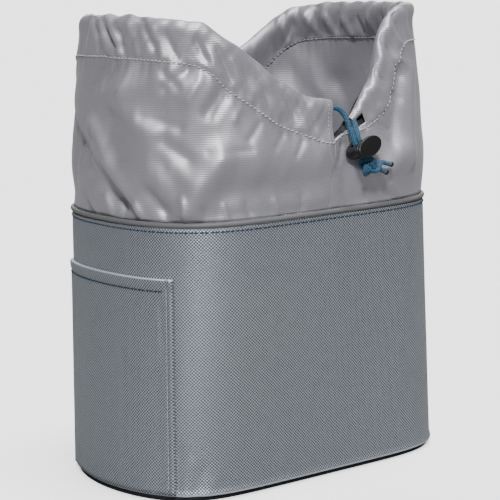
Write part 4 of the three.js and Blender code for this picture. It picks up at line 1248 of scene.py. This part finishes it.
class BAG_OT_drawcord(bpy.types.Operator):
    """Lay the drawcord, its knot and its tails"""

    bl_idname = "bag.drawcord"
    bl_label = "Drawcord"

    def execute(self, context):
        b = settings()
        material = cord_material()
        radius = b.cord_diameter / 2
        run = hidden_run()
        cord_mesh("cord_in_the_channel", run, radius * 0.85, material, "bag", ["cord_in_channel"])
        first, second = (smooth_path(route, 0.0004)[0] for route in knot_paths())
        knot = cord_mesh("drawcord_knot", first, 0.0015, material, "bag", ["cord_knot"])
        beside = cord_mesh("drawcord_knot_second_strand", second, 0.0015, material, "bag", ["cord_knot"])
        tip = noisy_material("melted tip", (0.016, 0.006, 0.006), 0.35, 900, 0.0001, 0.5)
        for label, ends in (("upper", first[:5]), ("lower", first[-5:])):
            cord_mesh(f"melted_tip_{label}", ends, 0.00158, tip, "bag", [])
        for name, points in (("left", CORD_LEFT), ("right", CORD_RIGHT)):
            path, length = smooth_path(points, 0.0005)
            strand = cord_mesh(f"drawcord_{name}", path, radius, material, "bag", [f"cord_{name}"])
        return {"FINISHED"}


# The cord lock
def inset_rings(half_width, half_height, rows):
    """Rows of (inset across, inset up, way out) as rings of an oval."""
    return [(half_width - across, half_height - up, out) for across, up, out in rows]


def oval_rings(rings, sides=72):
    """Rings of (half width, half height, way out) as points of the lock, in metres."""
    angle = np.arange(sides) * 2 * math.pi / sides
    grid = []
    for w, h, out in rings:
        grid.append(
            np.array(LOCK_AT) * 1000 + np.array(LOCK_OUT) * out
            + np.outer(w * np.cos(angle), LOCK_SIDE) + np.outer(h * np.sin(angle), LOCK_UP)
        )
    return np.array(grid)


def closed_rings(name, rings, material, body, nodes):
    grid = oval_rings(rings)
    rows, columns = grid.shape[:2]
    faces = grid_faces(rows, columns, False, True)
    points = cap_ends(grid.reshape(-1, 3), faces, rows, columns, grid[0].mean(0), grid[-1].mean(0))
    uv = points[:, [0, 2]]
    return make_mesh(name, points * 0.001, faces, uv * 0.001, material, body, nodes)


class BAG_OT_cord_lock(bpy.types.Operator):
    """Build the barrel and the sprung button of the cord lock"""

    bl_idname = "bag.cord_lock"
    bl_label = "Cord lock"

    def execute(self, context):
        b = settings()
        material = noisy_material("lock plastic", tuple(b.lock), 0.42, 700, 0.00006, 0.5)
        w, h = 7.5, 5.1
        # Rings from the back to the rim, then down the bore: inset and way out
        walls = [
            (2.4, 0.0), (0.9, 0.05), (0.3, 0.35), (0, 0.9), (0, 1.6), (0.15, 2.0), (0.5, 2.4), (0.5, 9.9),
            (0.15, 10.4), (0, 10.8), (0, 11.6), (0.3, 11.95), (1.2, 12.0), (1.6, 11.8), (1.6, 1.4),
            (3.0, 1.3),
        ]
        barrel = inset_rings(w, h, [(inset, inset, out) for inset, out in walls])
        self.cut(closed_rings("cord_lock_barrel", barrel, material, "bag", ["lock_barrel"]), 3.0)
        stem = inset_rings(w - 1.9, h - 1.9, [(2, 1.6, 3.5), (0.2, 0.2, 3.55), (0, 0, 3.8), (0, 0, 14.1)])
        head = inset_rings(9.8, 5.9, [
            (0.8, 0.8, 14.2), (0.3, 0.3, 14.35), (0, 0, 14.8), (0, 0, 15.7), (0.12, 0.12, 16.1),
            (0.45, 0.45, 16.45), (0.9, 0.9, 16.62), (1.3, 1.25, 16.55), (2.6, 2.2, 16.78), (4.8, 3.6, 16.95),
            (7.4, 4.9, 17.0),
        ])
        button = closed_rings("cord_lock_button", stem + head, material, "button", ["lock_button"])
        self.cut(button, 4.9)
        return {"FINISHED"}

    def cut(self, obj, start):
        """Open the slot that both cords pass through."""
        mesh = bpy.data.meshes.new("slot")
        w, length, tall = 0.0040, 0.006, 0.02
        ways = (start * 0.001 + length, start * 0.001)
        corners = [
            LOCK_AT + LOCK_SIDE * side * w + LOCK_OUT * way + LOCK_UP * end * tall
            for side in (-1, 1) for way in ways for end in (-1, 1)
        ]
        faces = [(0, 1, 3, 2), (4, 6, 7, 5), (0, 4, 5, 1), (2, 3, 7, 6), (0, 2, 6, 4), (1, 5, 7, 3)]
        mesh.from_pydata(corners, [], faces)
        cutter = bpy.data.objects.new("slot", mesh)
        bpy.context.scene.collection.objects.link(cutter)
        cut = obj.modifiers.new("slot", "BOOLEAN")
        cut.operation = "DIFFERENCE"
        cut.solver = "EXACT"
        cut.object = cutter
        bpy.context.view_layer.update()
        done = bpy.data.meshes.new_from_object(obj.evaluated_get(bpy.context.evaluated_depsgraph_get()))
        if not len(done.polygons):
            raise RuntimeError(f"the slot could not be cut in {obj.name}")
        obj.modifiers.clear()
        obj.data = done
        bpy.data.objects.remove(cutter)


# Strap loops
class BAG_OT_strap_loops(bpy.types.Operator):
    """Build the two plain strap loops on the back"""

    bl_idname = "bag.strap_loops"
    bl_label = "Strap loops"

    def execute(self, context):
        b = settings()
        material, n, shader = plain_material("strap webbing", tuple(b.strap), 0.75, 0.35, 0.2)
        group = n.add("ShaderNodeGroup", node_tree=shared_group("Fine Ribs", ribs_group))
        group.inputs["Pitch"].default_value = 0.0022
        n.link(n.mix(group.outputs["Rib"], tinted(tuple(b.strap), 0.6), tinted(tuple(b.strap), 1.6)),
               shader.inputs["Base Color"])
        bump(n, shader, group.outputs["Height"], 0.0003, 0.8)
        for name, side in (("left", 1), ("right", -1)):
            # The band leans as the wall behind it does
            low, high = (wall_points(0.5 + side * 0.05, LOOP_HEIGHT + dz, WALL_FACE) for dz in (-12, 12))
            lean = math.atan2(high[1] - low[1], 24)
            wall = wall_points(0.5, LOOP_HEIGHT, WALL_FACE)
            # Profile of the band in the plane across the bar: a D with its flat side on the wall
            profile = []
            for thick in (LOOP_THICK, 0):
                radius, flat = LOOP_RADIUS + thick, LOOP_FLAT + thick
                reach = math.acos(-flat / radius)
                angles = np.linspace(-reach, reach, 60)
                arc = np.column_stack([radius * np.cos(angles), radius * np.sin(angles)])
                straight = np.linspace(arc[-1], arc[0], 14)[1:-1]
                profile.append(np.vstack([arc, straight]))
            outer, inner = profile
            out_y = wall[1] + LOOP_FLAT + LOOP_THICK + LOOP_CLEAR
            # Across the band on its outer side and back on its inner side, with soft edges
            wide, near = LOOP_HALF_WIDTH, LOOP_HALF_WIDTH - 0.3
            across = np.array([-wide, -near, near, wide, wide, near, -near, -wide], float)
            section = []
            for i, x in enumerate(across):
                edge = 0.12 if abs(x) == wide else 0.0
                mix = edge if i < 4 else 1 - edge
                ring = outer * (1 - mix) + inner * mix
                y, z = ring[:, 0], ring[:, 1]
                yy = y * math.cos(lean) + z * math.sin(lean)
                zz = -y * math.sin(lean) + z * math.cos(lean)
                xx = np.full(len(ring), -side * LOOP_X + x)
                section.append(np.column_stack([xx, yy + out_y, zz + LOOP_HEIGHT]))
            grid = np.array(section).transpose(1, 0, 2)
            lengths = np.r_[0, np.cumsum(np.linalg.norm(np.diff(outer, axis=0), axis=1))]
            uv = np.stack(np.broadcast_arrays(across[None, :], lengths[:, None]), -1)
            grid_object(
                f"webbing_loop_{name}", grid, uv, material, "bag", [f"strap_loop_{name}"],
                wrap_rows=True, wrap_columns=True,
            )
        return {"FINISHED"}


# The stage
class BAG_OT_stage(bpy.types.Operator):
    """Set the floor, lights and camera of the photo"""

    bl_idname = "bag.stage"
    bl_label = "Stage"

    def execute(self, context):
        scene = context.scene
        azimuth, elevation, roll = math.radians(-35.95), math.radians(7.8), math.radians(-1.78)
        target = Vector((0, 0, 0.1685))
        level = math.cos(elevation)
        back = Vector((math.sin(azimuth) * level, -math.cos(azimuth) * level, math.sin(elevation)))
        right = Vector((math.cos(azimuth), math.sin(azimuth), 0))
        up = back.cross(right)
        data = bpy.data.cameras.new("camera")
        data.lens = FOCAL_PIXELS / PICTURE * SENSOR
        data.sensor_width = SENSOR
        data.shift_x = 0.00334
        data.shift_y = -0.10098
        camera = bpy.data.objects.new("camera", data)
        scene.collection.objects.link(camera)
        turn = Matrix((right, up, back)).transposed().to_4x4()
        place = Matrix.Translation(target + back * CAMERA_DISTANCE)
        camera.matrix_world = place @ turn @ Matrix.Rotation(roll, 4, "Z")
        scene.camera = camera

        floor_material, f, shader = plain_material("floor", (0.95, 0.95, 0.95), 0.95, 0.1)
        # The floor looks pale but throws only a little light back up
        seen = f.add("ShaderNodeLightPath").outputs["Is Camera Ray"]
        f.link(f.mix(seen, (0.22, 0.22, 0.22), (0.95, 0.95, 0.95)), shader.inputs["Base Color"])
        f.link(f.mix(seen, (0.0, 0.0, 0.0), (1.0, 1.0, 1.0)), shader.inputs["Emission Color"])
        shader.inputs["Emission Strength"].default_value = 1.1
        mesh = bpy.data.meshes.new("floor")
        size = 40.0
        corners = [(-size, -size, 0), (size, -size, 0), (size, size, 0), (-size, size, 0)]
        mesh.from_pydata(corners, [], [(0, 1, 2, 3)])
        floor = bpy.data.objects.new("floor", mesh)
        floor.data.materials.append(floor_material)
        scene.collection.objects.link(floor)

        world = bpy.data.worlds.new("studio")
        world.use_nodes = True
        world.node_tree.nodes["Background"].inputs[0].default_value = (1, 1, 1, 1)
        w = Nodes(world.node_tree)
        sight = w.add("ShaderNodeLightPath")
        w.link(
            w.math("MULTIPLY_ADD", sight.outputs["Is Camera Ray"], 2.0, 0.08),
            world.node_tree.nodes["Background"].inputs[1],
        )
        scene.world = world
        # Broad lights far away: name, direction, width in degrees, strength
        lights = [
            ("key", (-0.54, -0.74, 0.74), 9, 3.6),
            ("top", (0.08, -0.12, 1.00), 20, 2.9),
            ("side", (0.90, -0.45, 0.35), 40, 0.06),
            ("back", (0.60, 0.90, 0.45), 40, 1.0),
        ]
        for name, place, width, power in lights:
            light = bpy.data.lights.new(name, "SUN")
            light.energy = power
            light.angle = math.radians(width)
            obj = bpy.data.objects.new(name, light)
            scene.collection.objects.link(obj)
            obj.location = place
            obj.rotation_euler = (-Vector(place)).to_track_quat("-Z", "Y").to_euler()
        return {"FINISHED"}


class BAG_PT_panel(bpy.types.Panel):
    """Sizes, colours and the steps that build the bag"""

    bl_idname = "BAG_PT_panel"
    bl_label = "Handlebar bag"
    bl_space_type = "VIEW_3D"
    bl_region_type = "UI"
    bl_category = "Bag"

    def draw(self, context):
        column = self.layout.column()
        for name in BagSettings.__annotations__:
            column.prop(context.scene.bag, name)
        for operator in OPERATORS:
            column.operator(operator.bl_idname)


OPERATORS = (
    BAG_OT_lower_wall,
    BAG_OT_collar,
    BAG_OT_wall_stitches,
    BAG_OT_drawcord,
    BAG_OT_cord_lock,
    BAG_OT_strap_loops,
    BAG_OT_stage,
)
CLASSES = (BagSettings, *OPERATORS, BAG_PT_panel)


def register():
    for cls in CLASSES:
        bpy.utils.register_class(cls)
    bpy.types.Scene.bag = PointerProperty(type=BagSettings)


def unregister():
    del bpy.types.Scene.bag
    for cls in reversed(CLASSES):
        bpy.utils.unregister_class(cls)


def main():
    register()
    bpy.ops.bag.lower_wall()
    bpy.ops.bag.collar()
    bpy.ops.bag.wall_stitches()
    bpy.ops.bag.drawcord()
    bpy.ops.bag.cord_lock()
    bpy.ops.bag.strap_loops()
    bpy.ops.bag.stage()


if __name__ == "__main__":
    main()
